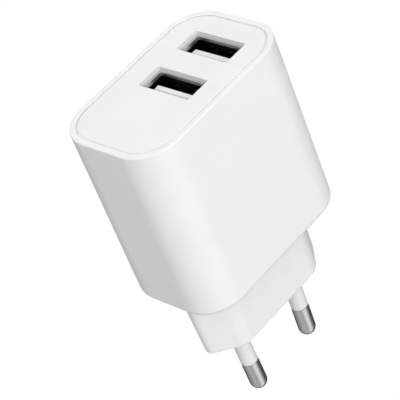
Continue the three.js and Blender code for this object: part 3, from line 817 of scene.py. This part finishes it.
bore = CORE_RADIUS + BORE_GAP
collar_end = (SLEEVE_RADIUS - COLLAR_ROUND, -SLEEVE_LENGTH + COLLAR_ROUND)
sleeve_profile = [(bore, -SLEEVE_LENGTH), (SLEEVE_RADIUS - COLLAR_ROUND, -SLEEVE_LENGTH)]
sleeve_profile += arc_points(collar_end, COLLAR_ROUND, -90, 0, 4)[1:]
sleeve_profile += [(SLEEVE_RADIUS, -SLEEVE_LENGTH + 1), (SLEEVE_RADIUS, SLEEVE_SEAT)]
sleeve_profile += [(bore, SLEEVE_SEAT)]

seat_radius, core_bore = SLEEVE_RADIUS + 0.08, CORE_RADIUS + 0.1
seat_top, slab_top = SLEEVE_SEAT + 0.1, SLAB + PAST
bore_profile = [(0, -PAST), (seat_radius, -PAST), (seat_radius, seat_top)]
bore_profile += [(core_bore, seat_top), (core_bore, slab_top), (0, slab_top)]
print("profile points", len(pin_profile), len(sleeve_profile), len(bore_profile))

# %% Pins, collars and the holes for them
bores = []
for name, side in (("left", -1), ("right", 1)):
    pin = place(revolve(f"pin_metal_{name}", pin_profile), along_pin(side))
    finish_piece(pin, pin_nickel, "pin_nickel", f"plug_pin_{name}")
    sleeve = place(revolve(f"pin_collar_{name}", sleeve_profile, closed=True), along_pin(side))
    finish_piece(sleeve, sleeve_grey, "sleeve_grey", f"pin_sleeve_{name}")
    bores.append(place(revolve("bore", bore_profile), along_pin(side)))
combine(neck, bores, "DIFFERENCE")
soften(neck, 0.08, segments=2, angle=50)
finish_piece(neck, neck_white, "housing_white", "plug_neck")

# %% [markdown]
# ## USB sockets
# A type A socket is a folded steel shell round a white insulator, whose tongue carries four sprung
# contacts on one side. Each long wall of the shell has two fingers, stamped out of it and bowed
# inwards, that hold the plug. The sizes below are those of the standard, so any lead fits.

# %% Socket sizes
SOCKET_FOOT, SOCKET_MOUTH = (corner.z for corner in shell_boxes[0])
SOCKET_INNER = (2.56, 6.25)
SHELL_OUTER = (2.8, 6.55)
TONGUE_OFFSET = 0.95
TONGUE_THICKNESS = 1.84
TONGUE_HALF_LENGTH = 5.55
TONGUE_TIP = box_mm("usb_insulator_1")[1].z
BACK_TOP = SOCKET_FOOT + 3.6
CONTACT_PITCH = 2.3
CONTACT_HALF = 0.6
CONTACT_THICKNESS = 0.25
CONTACT_TOP = TONGUE_TIP - 1.5
FINGER_PITCH = 5.0
FINGER_HALF = 0.65
FINGER_FOOT = SOCKET_MOUTH - 9.0
FINGER_TIP = SOCKET_MOUTH - 2.4
BOW = 0.35
print("socket from", round(SOCKET_FOOT, 2), "to", round(SOCKET_MOUTH, 2))

# %% [markdown]
# ## Spring strips
# Contacts and fingers are both strips of sheet metal with a bow in them. One function gives the bow
# as a path, easing in and out so that it has no kink, and another sweeps a flat section along it.

# %% Spring strips
def strip(name, path, half_width, thickness):
    """A flat spring that follows [x, z] points, its back a thickness behind them."""
    rings = []
    for out, z in path:
        corners = [(-thickness, -1), (0, -1), (0, 1), (-thickness, 1)]
        rings.append([Vector((out + a, b * half_width, z)) for a, b in corners])
    return soften(loft(name, rings), 0.04, segments=2)


def bowed(foot, start, peak, end, tip, bow, steps=6):
    """A path that bows out smoothly between two heights and comes back."""
    path = [(0, foot), (0, start)]
    for t in range(1, steps + 1):
        path.append((bow * math.sin(math.pi / 2 * t / steps) ** 2, start + (peak - start) * t / steps))
    for t in range(1, steps + 1):
        path.append((bow * math.cos(math.pi / 2 * t / steps) ** 2, peak + (end - peak) * t / steps))
    return path + [(0, tip)]


print("points along a spring:", len(bowed(0, 1, 4, 5, 6, BOW)))

# %% [markdown]
# ## Socket shell
# The shell is a loft whose rings go up the outside and down the inside. Windows are cut for the
# fingers first, and each finger is then joined to the wall at its foot and lies free in its window.

# %% Socket shell
LIP_ROUND = 0.08
SHELL_CORNERS = (0.5, 0.3)
WINDOW_GAP = 0.3


def shell_ring(x, size, radius, grow, z):
    """The shell's outline about a socket's middle, grown outwards."""
    outline = rectangle(size[0] + grow, size[1] + grow, radius, x=x, y=PORT_Y, steps=6)
    return level(outline, z)


def socket_shell(name, x):
    """A thin tube with a rounded mouth, two windows in each long wall, and a finger in each."""
    rim = SOCKET_MOUTH - LIP_ROUND
    outside = [(0, SOCKET_FOOT), (0, rim), (-LIP_ROUND, SOCKET_MOUTH)]
    inside = [(LIP_ROUND, SOCKET_MOUTH), (0, rim), (0, SOCKET_FOOT)]
    rings = [shell_ring(x, SHELL_OUTER, SHELL_CORNERS[0], grow, z) for grow, z in outside]
    rings += [shell_ring(x, SOCKET_INNER, SHELL_CORNERS[1], grow, z) for grow, z in inside]
    shell = loft(name, rings, ring_closed=True)
    thickness = SHELL_OUTER[0] - SOCKET_INNER[0]
    window_half = FINGER_HALF + WINDOW_GAP
    reach, window_top = SHELL_OUTER[0] + 1.2, FINGER_TIP + 0.4
    window = cuboid("window", (-reach, -window_half, FINGER_FOOT), (reach, window_half, window_top))
    windows = row(window, None, 2, (x, PORT_Y - FINGER_PITCH / 2, 0), (0, FINGER_PITCH, 0))
    combine(shell, [windows], "DIFFERENCE")
    peak, end = FINGER_TIP - 1.6, FINGER_TIP - 0.2
    path = bowed(FINGER_FOOT - 0.3, FINGER_FOOT + 0.5, peak, end, FINGER_TIP, BOW)
    for side in (1, -1):
        finger = strip("finger", path, FINGER_HALF, thickness * 0.8)
        if side == 1:
            place(finger, Matrix.Rotation(math.pi, 4, "Z"))
        wall = side * (SOCKET_INNER[0] + 0.02)
        fingers = row(finger, None, 2, (x + wall, PORT_Y - FINGER_PITCH / 2, 0), (0, FINGER_PITCH, 0))
        combine(shell, [fingers], "UNION")
    return shell


print("shell wall", round(SHELL_OUTER[0] - SOCKET_INNER[0], 2))

# %% [markdown]
# ## Socket insulator
# The insulator is a block in the shell's foot with the tongue standing on it. The tongue's end is
# chamfered more on one side than on the other, to guide the plug on. A slot behind each contact
# lets it flex. The block, tongue and slots are three plain shapes, so booleans are the short way.

# %% Socket insulator
SLOT_GAP = 0.08
TONGUE_CORNER = 0.15
TONGUE_SLICES = ((BACK_TOP - 1, 0, 0, 0), (TONGUE_TIP - 0.55, 0, 0, 0),
                 (TONGUE_TIP - 0.2, 0.35, 0, 0.1), (TONGUE_TIP, 0.55, 0.2, 0.3))


def socket_insulator(name, x):
    """A block in the shell's foot and the tongue above it, with a slot behind each contact."""
    low = x - SOCKET_INNER[0] + TONGUE_OFFSET
    high = low + TONGUE_THICKNESS
    corner = Vector((SOCKET_INNER[0] - 0.1, SOCKET_INNER[1] - 0.1, 0))
    middle = Vector((x, PORT_Y, 0))
    foot, top = Vector((0, 0, SOCKET_FOOT)), Vector((0, 0, BACK_TOP))
    block = cuboid(name, middle - corner + foot, middle + corner + top)
    rings = []
    for z, near, far, short in TONGUE_SLICES:
        half, at = (high - far - low - near) / 2, (low + near + high - far) / 2
        size = (half, TONGUE_HALF_LENGTH - short, TONGUE_CORNER)
        rings.append(level(rectangle(*size, x=at, y=PORT_Y, steps=3, shares=()), z))
    combine(block, [loft("tongue", rings)], "UNION")
    slot_half = CONTACT_HALF + SLOT_GAP
    slot_low = (-CONTACT_THICKNESS - SLOT_GAP, -slot_half, SOCKET_FOOT - PAST)
    slot = cuboid("slot", slot_low, (0.25, slot_half, CONTACT_TOP + 0.1))
    slots = row(slot, None, 4, (high, PORT_Y - 1.5 * CONTACT_PITCH, 0), (0, CONTACT_PITCH, 0))
    combine(block, [slots], "DIFFERENCE")
    return soften(block, 0.05, segments=2)


print("tongue", round(TONGUE_TIP - BACK_TOP, 2), "above its block")

# %% [markdown]
# ## Both sockets
# Each socket is a shell, an insulator and four contacts. The contacts bow out of the tongue's face
# towards the wide side of the mouth, where the plug's own tongue slides in.

# %% Both sockets
for n, x in enumerate(PORTS, start=1):
    shell = socket_shell(f"socket_shell_{n}", x)
    # The shell carries the painted shade and the painted light band of the sockets' steel.
    finish_piece(shell, shell_steel_painted_shade, "socket_shell_steel", f"usb_shell_{n}")
    insulator = socket_insulator(f"socket_insulator_{n}", x)
    finish_piece(insulator, insulator_white, "socket_insulator", f"usb_insulator_{n}")
    face = x - SOCKET_INNER[0] + TONGUE_OFFSET + TONGUE_THICKNESS
    peak = CONTACT_TOP - 2.2
    path = bowed(SOCKET_FOOT + 0.1, CONTACT_TOP - 5, peak, peak + 1.4, CONTACT_TOP, BOW)
    contact = strip(f"socket_contacts_{n}", path, CONTACT_HALF, CONTACT_THICKNESS)
    first = (face, PORT_Y - 1.5 * CONTACT_PITCH, 0)
    contacts = row(contact, contact_gold, 4, first, (0, CONTACT_PITCH, 0))
    stands_for = [f"usb_contact_{n}_{k}" for k in (1, 2, 3, 4)]
    finish_piece(contacts, contact_gold, "contact_brass", *stands_for)

# %% [markdown]
# ## Boards, cores and strips
# The pieces inside are flat boards, pressed cores and bent strips. Their outlines are already right
# in the frame, but real ones have no knife edges. So each is a copy of its node: loose triangles
# are merged, flat ones joined, and the sharp edges rounded by the amount that its process leaves,
# such as a routed board's tenth of a millimetre or a pressed core's quarter. The node itself is never
# touched.

# %% Copies with rounded edges
def refined(name, node, width, segments=2):
    """A copy of a node with its sharp edges rounded."""
    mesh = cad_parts[node].data.copy()
    bm = bmesh.new()
    bm.from_mesh(mesh)
    bmesh.ops.remove_doubles(bm, verts=bm.verts, dist=0.001 * MM)
    bmesh.ops.dissolve_limit(bm, angle_limit=math.radians(1), verts=bm.verts, edges=bm.edges)
    bpy.data.meshes.remove(mesh)
    return soften(link(name, bm), width, segments=segments, angle=35)


def one_mesh(name, things):
    """Joins separate meshes in one object, without cutting them."""
    bm = bmesh.new()
    for thing in things:
        bm.from_mesh(thing.data)
        bpy.data.objects.remove(thing)
    return link(name, bm)


print("faces of the upright board's node:", len(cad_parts["main_board"].data.polygons))

# %% Boards, cores, bobbin and strips
REFINED = (
    ("upright_board", "main_board", 0.12, 2, board_green, "circuit_board"),
    ("cross_board", "output_board", 0.12, 2, board_green, "circuit_board"),
    ("ferrite_core_lower", "transformer_core_lower", 0.25, 3, ferrite_grey, "ferrite"),
    ("ferrite_core_upper", "transformer_core_upper", 0.25, 3, ferrite_grey, "ferrite"),
    ("bobbin", "transformer_bobbin", 0.12, 2, bobbin_black, "bobbin_plastic"),
    ("header_block", "link_header", 0.15, 2, chip_black, "chip_plastic"),
    ("brass_strip_left", "pin_strip_left", 0.1, 2, contact_gold, "contact_brass"),
    ("brass_strip_right", "pin_strip_right", 0.1, 2, contact_gold, "contact_brass"),
)
for name, node, width, segments, surface, slot in REFINED:
    finish_piece(refined(name, node, width, segments), surface, slot, node)

# %% [markdown]
# ## Link pins
# Four bent square pins carry the output up to the cross board. One is refined, and the row tree sets
# it out at the pitch that the first two nodes have.

# %% Link pins
link_low = [box_mm(f"link_pin_{n}")[0] for n in (1, 2)]
link_step = link_low[1] - link_low[0]
link_pins = row(refined("header_pins", "link_pin_1", 0.08), contact_gold, 4, (0, 0, 0), link_step)
finish_piece(link_pins, contact_gold, "contact_brass", *[f"link_pin_{n}" for n in (1, 2, 3, 4)])


# %% [markdown]
# ## Where a board part stands
# A part is built standing up from zero, as it lies in its maker's drawing. A matrix then sets it on
# the front or back of the upright board, or on top of the cross board. Its place and its size both
# come from its node's box.

# %% Seats on the boards
def seat(node, facing):
    """The matrix that stands a part on its board, and its half width, half depth and height."""
    low, high = box_mm(node)
    mid, half = (low + high) / 2, (high - low) / 2
    if facing == "up":
        return Matrix.Translation(Vector((mid.x, mid.y, low.z)) * MM), half.x, half.y, 2 * half.z
    y = high.y if facing == "front" else low.y
    turn = math.pi / 2 if facing == "front" else -math.pi / 2
    foot = Matrix.Translation(Vector((mid.x, y, mid.z)) * MM)
    return foot @ Matrix.Rotation(turn, 4, "X"), half.x, half.z, 2 * half.y


print("the choke's height from its board", round(seat("input_inductor", "back")[3], 2))

# %% [markdown]
# ## Electrolytic cans
# A can is a drawn aluminium cup, rolled in near its foot round a rubber bung, covered by a shrink
# sleeve that laps over its top edge. The top has a shallow cross, scored so that it can vent. The
# body is a turned profile and the cross is cut with two bars.

# %% Cans
CAN_GROOVE = 1.7
BUNG_DEPTH = 0.3
TOP_DEPTH = 0.15
VENT_DEPTH = 0.2
VENT_HALF = 0.12


def can(name, node, facing):
    """A capacitor's can: rolled foot, groove, rounded top and vent cross."""
    matrix, radius, _, height = seat(node, facing)
    roll = min(0.45, radius * 0.12)
    top = height - TOP_DEPTH
    profile = [(0, BUNG_DEPTH), (radius - 3 * roll, BUNG_DEPTH), (radius - 2.6 * roll, 0)]
    profile += arc_points((radius - roll, roll), roll, -90, 0, 5)
    profile += [(radius, CAN_GROOVE - 1.6 * roll)]
    profile += arc_points((radius, CAN_GROOVE), roll, 240, 120, 8)
    profile += [(radius, CAN_GROOVE + 1.6 * roll), (radius, height - roll - 0.3)]
    profile += arc_points((radius - roll, height - roll), roll, 0, 90, 5)
    profile += [(radius - roll - 0.25, height), (radius - roll - 0.35, top), (0, top)]
    thing = revolve(name, profile, steps=48)
    reach, low, high = radius * 0.55, top - VENT_DEPTH, height + PAST
    cross = ((reach, VENT_HALF), (VENT_HALF, reach))
    bars = [cuboid("bar", (-x, -y, low), (x, y, high)) for x, y in cross]
    combine(thing, bars, "DIFFERENCE")
    finish_piece(place(thing, matrix), can_sleeve, "capacitor_sleeve", node)


CANS = {"bulk_capacitor_1": "front", "bulk_capacitor_2": "front", "output_capacitor_1": "front",
        "output_capacitor_2": "front", "supply_capacitor": "back", "filter_capacitor": "up"}
for node, facing in CANS.items():
    can(f"can_{node}", node, facing)

# %% [markdown]
# ## Chips and their legs
# A moulded chip splits round its middle, so its sides lean in above and below, and a round dimple
# marks its first leg. The legs are tinned strips bent like a gull's wing. One leg is drawn, and the
# row tree sets it out along each long side.

# %% Chips
LEG_WIDTH = 0.42
LEG_THICKNESS = 0.2
LEG_REACH = 1.0


def gull_leg(half_width, root):
    """One leg, from inside the body out and down to its toe."""
    knee, toe, inside = half_width + 0.35, half_width + LEG_REACH, half_width - 0.15
    t = LEG_THICKNESS
    side = [(inside, root), (knee - 0.1, root), (knee, root - 0.1), (knee, 0.1), (knee + 0.1, 0)]
    side += [(toe, 0), (toe, t), (knee + 0.15 + t, t), (knee + t, t + 0.1), (knee + t, root)]
    side += [(knee + 0.05, root + t), (inside, root + t)]
    rings = [[Vector((x, y, z)) for y, z in side] for x in (-LEG_WIDTH / 2, LEG_WIDTH / 2)]
    return soften(loft("leg", rings), 0.03, segments=1)


def chip(node, facing, legs_per_side):
    """A moulded body with its dimple, and the legs in two rows."""
    matrix, half_x, reach, height = seat(node, facing)
    half_y = reach - LEG_REACH
    foot, lean, middle = 0.15, 0.12, height * 0.55
    levels = [(foot, lean), (middle - 0.1, 0), (middle + 0.1, 0), (height, lean)]
    rings = [level(rectangle(half_x - d, half_y - d, 0.1, steps=2, shares=()), z) for z, d in levels]
    body = soften(loft(f"chip_{node}", rings), 0.05, segments=1)
    dimple = revolve("dimple", [(0, -0.08), (0.3, -0.08), (0.35, 1), (0, 1)], steps=24)
    place(dimple, Matrix.Translation(Vector((0.65 - half_x, 0.7 - half_y, height)) * MM))
    combine(body, [dimple], "DIFFERENCE")
    finish_piece(place(body, matrix), chip_black, "chip_plastic", node)
    pitch = 2 * half_x / legs_per_side
    first = (pitch / 2 - half_x, 0, 0)
    sides = []
    for turn in (0, math.pi):
        leg = place(gull_leg(half_y, middle - 0.1), Matrix.Rotation(turn, 4, "Z"))
        sides.append(row(leg, pin_nickel, legs_per_side, first, (pitch, 0, 0)))
    finish_piece(place(one_mesh(f"legs_{node}", sides), matrix), pin_nickel, "pin_nickel")


CHIPS = {"bridge_rectifier": ("back", 2), "primary_controller": ("back", 4), "optocoupler": ("back", 2),
         "output_rectifier": ("back", 4), "port_controller": ("up", 4)}
for node, (facing, legs) in CHIPS.items():
    chip(node, facing, legs)

# %% [markdown]
# ## Choke
# The choke smooths the mains current. It is a ferrite drum, ground from a pressed rod, with a layer
# of enamelled wire on its waist. The drum is turned from half a profile and its mirror image. The
# coil tree winds the wire, with as many turns as fit between the flanges.

# %% Choke
DRUM_FLANGE = 0.9
WAIST = 0.5
DRUM_ROUND = 0.2
WIRE = 0.19
WIRE_GAP = 0.02
END_GAP = 0.05
matrix, radius, _, height = seat("input_inductor", "back")
drum_arc = arc_points((radius - DRUM_ROUND, DRUM_ROUND), DRUM_ROUND, -90, 0, 3)
drum_profile = [(0, 0), (radius - DRUM_ROUND, 0)] + drum_arc[1:]
drum_profile += [(radius, DRUM_FLANGE - 0.1), (radius - 0.1, DRUM_FLANGE), (radius - WAIST, DRUM_FLANGE)]
drum_profile += [(r, height - z) for r, z in reversed(drum_profile)]
drum = revolve("choke_drum", drum_profile, steps=48)
finish_piece(place(drum, matrix), ferrite_grey, "ferrite", "input_inductor")

turns_height = height - 2 * (DRUM_FLANGE + WIRE + END_GAP)
turns = round(turns_height / (2 * WIRE + WIRE_GAP))
coil = grown(link("choke_wire", bmesh.new()), coil_tree, copper_enamel, Turns=float(turns),
             Radius=(radius - WAIST + WIRE) * MM, Height=turns_height * MM, Wire_Radius=WIRE * MM)
place(coil, matrix @ Matrix.Translation((0, 0, (DRUM_FLANGE + WIRE + END_GAP) * MM)))
finish_piece(coil, copper_enamel, "contact_brass")
print("choke turns", turns)

# %% [markdown]
# ## Resistor
# The fusible resistor is a ceramic rod with bulged end caps under a coat of cement. Its tinned leads
# come out of the caps and bend down to the board. A curve with a round bevel is the natural way to
# make a bent wire. Its mesh is kept, with the doubles at its caps merged.

# %% Wires
def bent_wire(name, points, radius):
    """A round wire through points, made as a curve with a bevel and kept as a mesh."""
    curve = bpy.data.curves.new(name, "CURVE")
    curve.dimensions = "3D"
    curve.bevel_depth = radius * MM
    curve.bevel_resolution = 3
    curve.use_fill_caps = True
    spline = curve.splines.new("POLY")
    spline.points.add(len(points) - 1)
    for at, point in zip(spline.points, points):
        at.co = (*(Vector(point) * MM), 1)
    thing = bpy.data.objects.new(name, curve)
    bpy.context.scene.collection.objects.link(thing)
    graph = bpy.context.evaluated_depsgraph_get()
    mesh = bpy.data.meshes.new_from_object(thing.evaluated_get(graph))
    bpy.data.objects.remove(thing)
    bpy.data.curves.remove(curve)
    bm = bmesh.new()
    bm.from_mesh(mesh)
    bmesh.ops.remove_doubles(bm, verts=bm.verts, dist=0.001 * MM)
    bmesh.ops.recalc_face_normals(bm, faces=bm.faces)
    bpy.data.meshes.remove(mesh)
    return link(name, bm)


print("wire helper:", bent_wire.__name__)

# %% Resistor
ROD_RADIUS = 1.5
CAP_ROUND = 0.4
CAP_STEP = 0.15
LEAD_RADIUS = 0.28
BEND = 0.5
matrix, reach, _, height = seat("fusible_resistor", "front")
centre = height - ROD_RADIUS
half = reach - 1.2
cap_arc = arc_points((ROD_RADIUS - CAP_ROUND, -half + CAP_ROUND), CAP_ROUND, -90, 0, 4)
rod_profile = [(0, -half)] + cap_arc + [(ROD_RADIUS, -half + 1)]
rod_profile += [(ROD_RADIUS - CAP_STEP, -half + 1.5), (ROD_RADIUS - CAP_STEP, 0)]
rod_profile += [(r, -z) for r, z in reversed(rod_profile[:-1])]
rod = place(revolve("resistor_rod", rod_profile, steps=40), Matrix.Rotation(math.pi / 2, 4, "Y"))
place(rod, Matrix.Translation((0, 0, centre * MM)))
finish_piece(place(rod, matrix), resistor_green, "resistor_body", "fusible_resistor")
leads = []
for side in (-1, 1):
    end = side * (reach - 0.3)
    points = [(side * (half - 0.2), 0, centre)]
    for a in [math.radians(t) for t in (0, 22.5, 45, 67.5, 90)]:
        points.append((end - side * BEND * (1 - math.sin(a)), 0, centre - BEND * (1 - math.cos(a))))
    leads.append(bent_wire("lead", points + [(end, 0, 0)], LEAD_RADIUS))
finish_piece(place(one_mesh("resistor_leads", leads), matrix), pin_nickel, "pin_nickel")

# %% [markdown]
# ## Safety capacitor
# This disc bridges the mains side and the output side. It is dipped in epoxy, so it has no edge at
# all: its profile is a half circle, swung about the axis.

# %% Disc
matrix, radius, _, height = seat("safety_capacitor", "front")
dip = height / 2
disc_profile = [(0, 0)] + arc_points((radius - dip, dip), dip, -90, 90, 16) + [(0, height)]
disc = revolve("dipped_disc", disc_profile, steps=48)
finish_piece(place(disc, matrix), disc_blue, "disc_coating", "safety_capacitor")

# %% [markdown]
# ## Taped winding
# The transformer's copper is hidden under yellow tape, wound on in bands whose edges never line up
# exactly. The winding is a loft of five bands, each with its own inset in steps of one layer of tape,
# and it closes on itself through the bore that the bobbin's tube fills.

# %% Taped winding
BORE_HALF = (3.03, 3.43)
BORE_RADIUS = 0.6
TAPE_RADIUS = 2.4
TAPE_STEP = 0.07
BAND_LAYERS = (3, 1, 0, 1, 2)
BAND_EDGE = 0.06
BAND_ROUND = 0.03
tape_low, tape_high = box_mm("transformer_winding")
middle, half = (tape_low + tape_high) / 2, (tape_high - tape_low) / 2
band = 2 * half.z / len(BAND_LAYERS)


def tape_ring(inset, z):
    """The tape's outline at a height, drawn in by an inset."""
    size = (half.x - inset, half.y - inset, TAPE_RADIUS - inset)
    return level(rectangle(*size, x=middle.x, y=middle.y, steps=8), z)


rings = []
for k, layers in enumerate(BAND_LAYERS):
    inset = layers * TAPE_STEP
    low_z = tape_low.z + k * band
    rings += [tape_ring(inset + BAND_ROUND, low_z), tape_ring(inset, low_z + BAND_EDGE)]
    rings += [tape_ring(inset, low_z + band - BAND_EDGE), tape_ring(inset + BAND_ROUND, low_z + band)]
bore = rectangle(*BORE_HALF, BORE_RADIUS, x=middle.x, y=middle.y, steps=8)
rings += [level(bore, tape_high.z), level(bore, tape_low.z)]
winding = loft("taped_winding", rings, ring_closed=True)
finish_piece(winding, tape_yellow, "winding_tape", "transformer_winding")

# %% [markdown]
# ## Solder joints
# Every leaded part shows a row of small solder cones on the far side of its board. A cone with a
# wire end in its middle is turned once, and the row tree repeats it at the leads' pitch. The two
# rows of five are the transformer's.

# %% Solder joints
CONE = [(0, 0.26), (0.18, 0.26), (0.2, 0.2), (0.3, 0.12)]
CONE += [(0.5, 0.05), (0.7, 0.0), (0.7, -0.05), (0, -0.05)]
LEAD_PITCH = {"bulk_capacitor_1": 3.5, "bulk_capacitor_2": 3.5, "output_capacitor_1": 2.5,
              "output_capacitor_2": 2.5, "fusible_resistor": 9.8, "safety_capacitor": 5.0}
TRANSFORMER_ROWS = (BODY_BOTTOM + 8.6, BODY_BOTTOM + 24)


def solder_row(count, start, pitch):
    """A row of solder cones that stand on the back of the upright board."""
    cone = place(revolve("cone", CONE, steps=16), Matrix.Rotation(-math.pi / 2, 4, "X"))
    return row(cone, pin_nickel, count, start, (pitch, 0, 0))


joints = []
for node, pitch in LEAD_PITCH.items():
    low, high = box_mm(node)
    start = ((low.x + high.x - pitch) / 2, board_high.y, (low.z + high.z) / 2)
    joints.append(solder_row(2, start, pitch))
joints += [solder_row(5, (-4.0, board_high.y, z), 2.5) for z in TRANSFORMER_ROWS]
finish_piece(one_mesh("solder_joints", joints), pin_nickel, "pin_nickel")

# %% [markdown]
# ## Plated holes
# A row of small plated holes along each long edge of the cross board ties its two copper layers
# together. Each is a flat gold ring, turned as a closed profile so that it has a hole through it.

# %% Plated holes
VIA = [(0.18, 0.0), (0.18, 0.05), (0.38, 0.05), (0.42, 0.0)]
VIA_ROWS = (-9.5, 9.5)
VIA_PITCH = 3.0
vias = []
for y in VIA_ROWS:
    ring = revolve("via", VIA, steps=16, closed=True)
    vias.append(row(ring, contact_gold, 12, (-5.5 * VIA_PITCH, y, output_high.z), (VIA_PITCH, 0, 0)))
finish_piece(one_mesh("board_vias", vias), contact_gold, "contact_brass")
shown = [name for name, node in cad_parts.items() if not node.hide_render]
print("nodes with no piece of their own:", shown)

# %% [markdown]
# ## Floor and light
# The charger stands in a white sweep, as small white goods do in a catalogue. Three large square
# soft boxes light it: one from the upper left of the camera, one from the front, low down, and one
# from behind, which lifts the top face. Large boxes give soft edges to the light on round corners.
# A plain sky fills the shadows. The floor lies well below the pins and is seen as plain white. It
# is clear from below, so a view of the pin face isn't blocked.

# %% Floor
FLOOR_DEPTH = 0.12
FLOOR_SIZE = 3.0
FLOOR_GREY = (0.45, 0.45, 0.45, 1)
bm = bmesh.new()
bmesh.ops.create_grid(bm, x_segments=1, y_segments=1, size=FLOOR_SIZE)
bmesh.ops.translate(bm, vec=(0, 0, -FLOOR_DEPTH), verts=bm.verts)
floor = link("floor", bm)
material, nodes, links, shader = new_surface("white_floor")
shader.inputs["Base Color"].default_value = FLOOR_GREY
shader.inputs["Roughness"].default_value = 0.9
seen = wired(nodes, links, "ShaderNodeEmission", {"Strength": 1.0}, {})
path = nodes.new("ShaderNodeLightPath")
sources = {"Fac": path.outputs["Is Camera Ray"], 1: shader.outputs["BSDF"], 2: seen.outputs["Emission"]}
mixed = wired(nodes, links, "ShaderNodeMixShader", {}, sources)
side = nodes.new("ShaderNodeNewGeometry")
clear = nodes.new("ShaderNodeBsdfTransparent")
sources = {"Fac": side.outputs["Backfacing"], 1: mixed.outputs["Shader"], 2: clear.outputs["BSDF"]}
one_sided = wired(nodes, links, "ShaderNodeMixShader", {}, sources)
links.new(one_sided.outputs["Shader"], nodes["Material Output"].inputs["Surface"])
floor.data.materials.append(material)
floor.visible_glossy = False
print("floor", FLOOR_DEPTH, "m below the pin face")


# %% Lights
BOX_DISTANCE = 1.2
BOX_TARGET = Vector((0, 0, 0.03))


def soft_box(name, side_angle, height_angle, size, power):
    """A square area light that looks at the middle of the charger. Its angles are in degrees."""
    data = bpy.data.lights.new(name, "AREA")
    data.size = size
    data.energy = power
    light = bpy.data.objects.new(name, data)
    bpy.context.scene.collection.objects.link(light)
    a, e = math.radians(side_angle), math.radians(height_angle)
    direction = Vector((math.sin(a) * math.cos(e), -math.cos(a) * math.cos(e), math.sin(e)))
    light.location = BOX_TARGET + direction * BOX_DISTANCE
    light.rotation_euler = direction.to_track_quat("Z", "Y").to_euler()
    print(name, "at", [round(v, 2) for v in light.location])


soft_box("left_soft_box", -45, 40, size=1.0, power=4.92)
soft_box("front_soft_box", -5, 15, size=0.9, power=6.23)
soft_box("back_soft_box", 150, 50, size=1.0, power=5.36)

# %% [markdown]
# ## Surroundings
# Polished metal shows nothing but what is around it, so a plain white room turns nickel pins into
# white sticks. A product photographer stands grey and black cards round the set, and the metal
# mirrors them as soft dark and bright bands. Here the sky does that: only reflected rays that go
# below the horizon see the cards, which are a ramp of grey round the compass. All other rays see
# the plain sky.

# %% The cards round the set
SKY = 0.488
WHITE = (1, 1, 1, 1)
CARDS = ((-180, 0.05), (-140, 0.3), (-105, 0.5), (-80, 0.62), (-45, 0.5),
         (-5, 1.1), (12, 1.0), (40, 0.3), (58, 0.12), (130, 0.04), (180, 0.05))
CARD_TOPS = {"From Min": 0.05, "From Max": -0.15}
world = bpy.data.worlds.new("pale_surroundings")
bpy.context.scene.world = world
world.use_nodes = True
nodes, links = world.node_tree.nodes, world.node_tree.links
direction = nodes.new("ShaderNodeTexCoord").outputs["Generated"]
axes = wired(nodes, links, "ShaderNodeSeparateXYZ", {}, {"Vector": direction}).outputs
front = wired(nodes, links, "ShaderNodeMath", {1: -1}, {0: axes["Y"]}, "MULTIPLY").outputs["Value"]
around = wired(nodes, links, "ShaderNodeMath", {}, {0: axes["X"], 1: front}, "ARCTAN2").outputs["Value"]
circle = {"From Min": -math.pi, "From Max": math.pi}
share = wired(nodes, links, "ShaderNodeMapRange", circle, {"Value": around}).outputs["Result"]
ramp = wired(nodes, links, "ShaderNodeValToRGB", {}, {"Fac": share})
stops = ramp.color_ramp.elements
for angle, brightness in CARDS:
    if abs(angle) == 180:
        stop = stops[0 if angle < 0 else -1]
    else:
        stop = stops.new((angle + 180) / 360)
    stop.color = (brightness, brightness, brightness, 1)
print("cards", len(stops))

# %% Who sees the cards
sky = nodes["Background"]
sky.inputs["Color"].default_value = WHITE
sky.inputs["Strength"].default_value = SKY
cards = wired(nodes, links, "ShaderNodeBackground", {}, {"Color": ramp.outputs["Color"]})
below = wired(nodes, links, "ShaderNodeMapRange", CARD_TOPS, {"Value": axes["Z"]}).outputs["Result"]
path = nodes.new("ShaderNodeLightPath").outputs
only = wired(nodes, links, "ShaderNodeMath", {}, {0: path["Is Glossy Ray"], 1: below}, "MULTIPLY")
sources = {"Fac": only.outputs["Value"], 1: sky.outputs["Background"], 2: cards.outputs["Background"]}
mixed = wired(nodes, links, "ShaderNodeMixShader", {}, sources)
seen = wired(nodes, links, "ShaderNodeBackground", {"Color": WHITE}, {})
sources = {"Fac": path["Is Camera Ray"], 1: mixed.outputs["Shader"], 2: seen.outputs["Background"]}
behind = wired(nodes, links, "ShaderNodeMixShader", {}, sources)
links.new(behind.outputs["Shader"], nodes["World Output"].inputs["Surface"])
bpy.context.scene.view_settings.view_transform = "Standard"
print("sky strength", SKY)
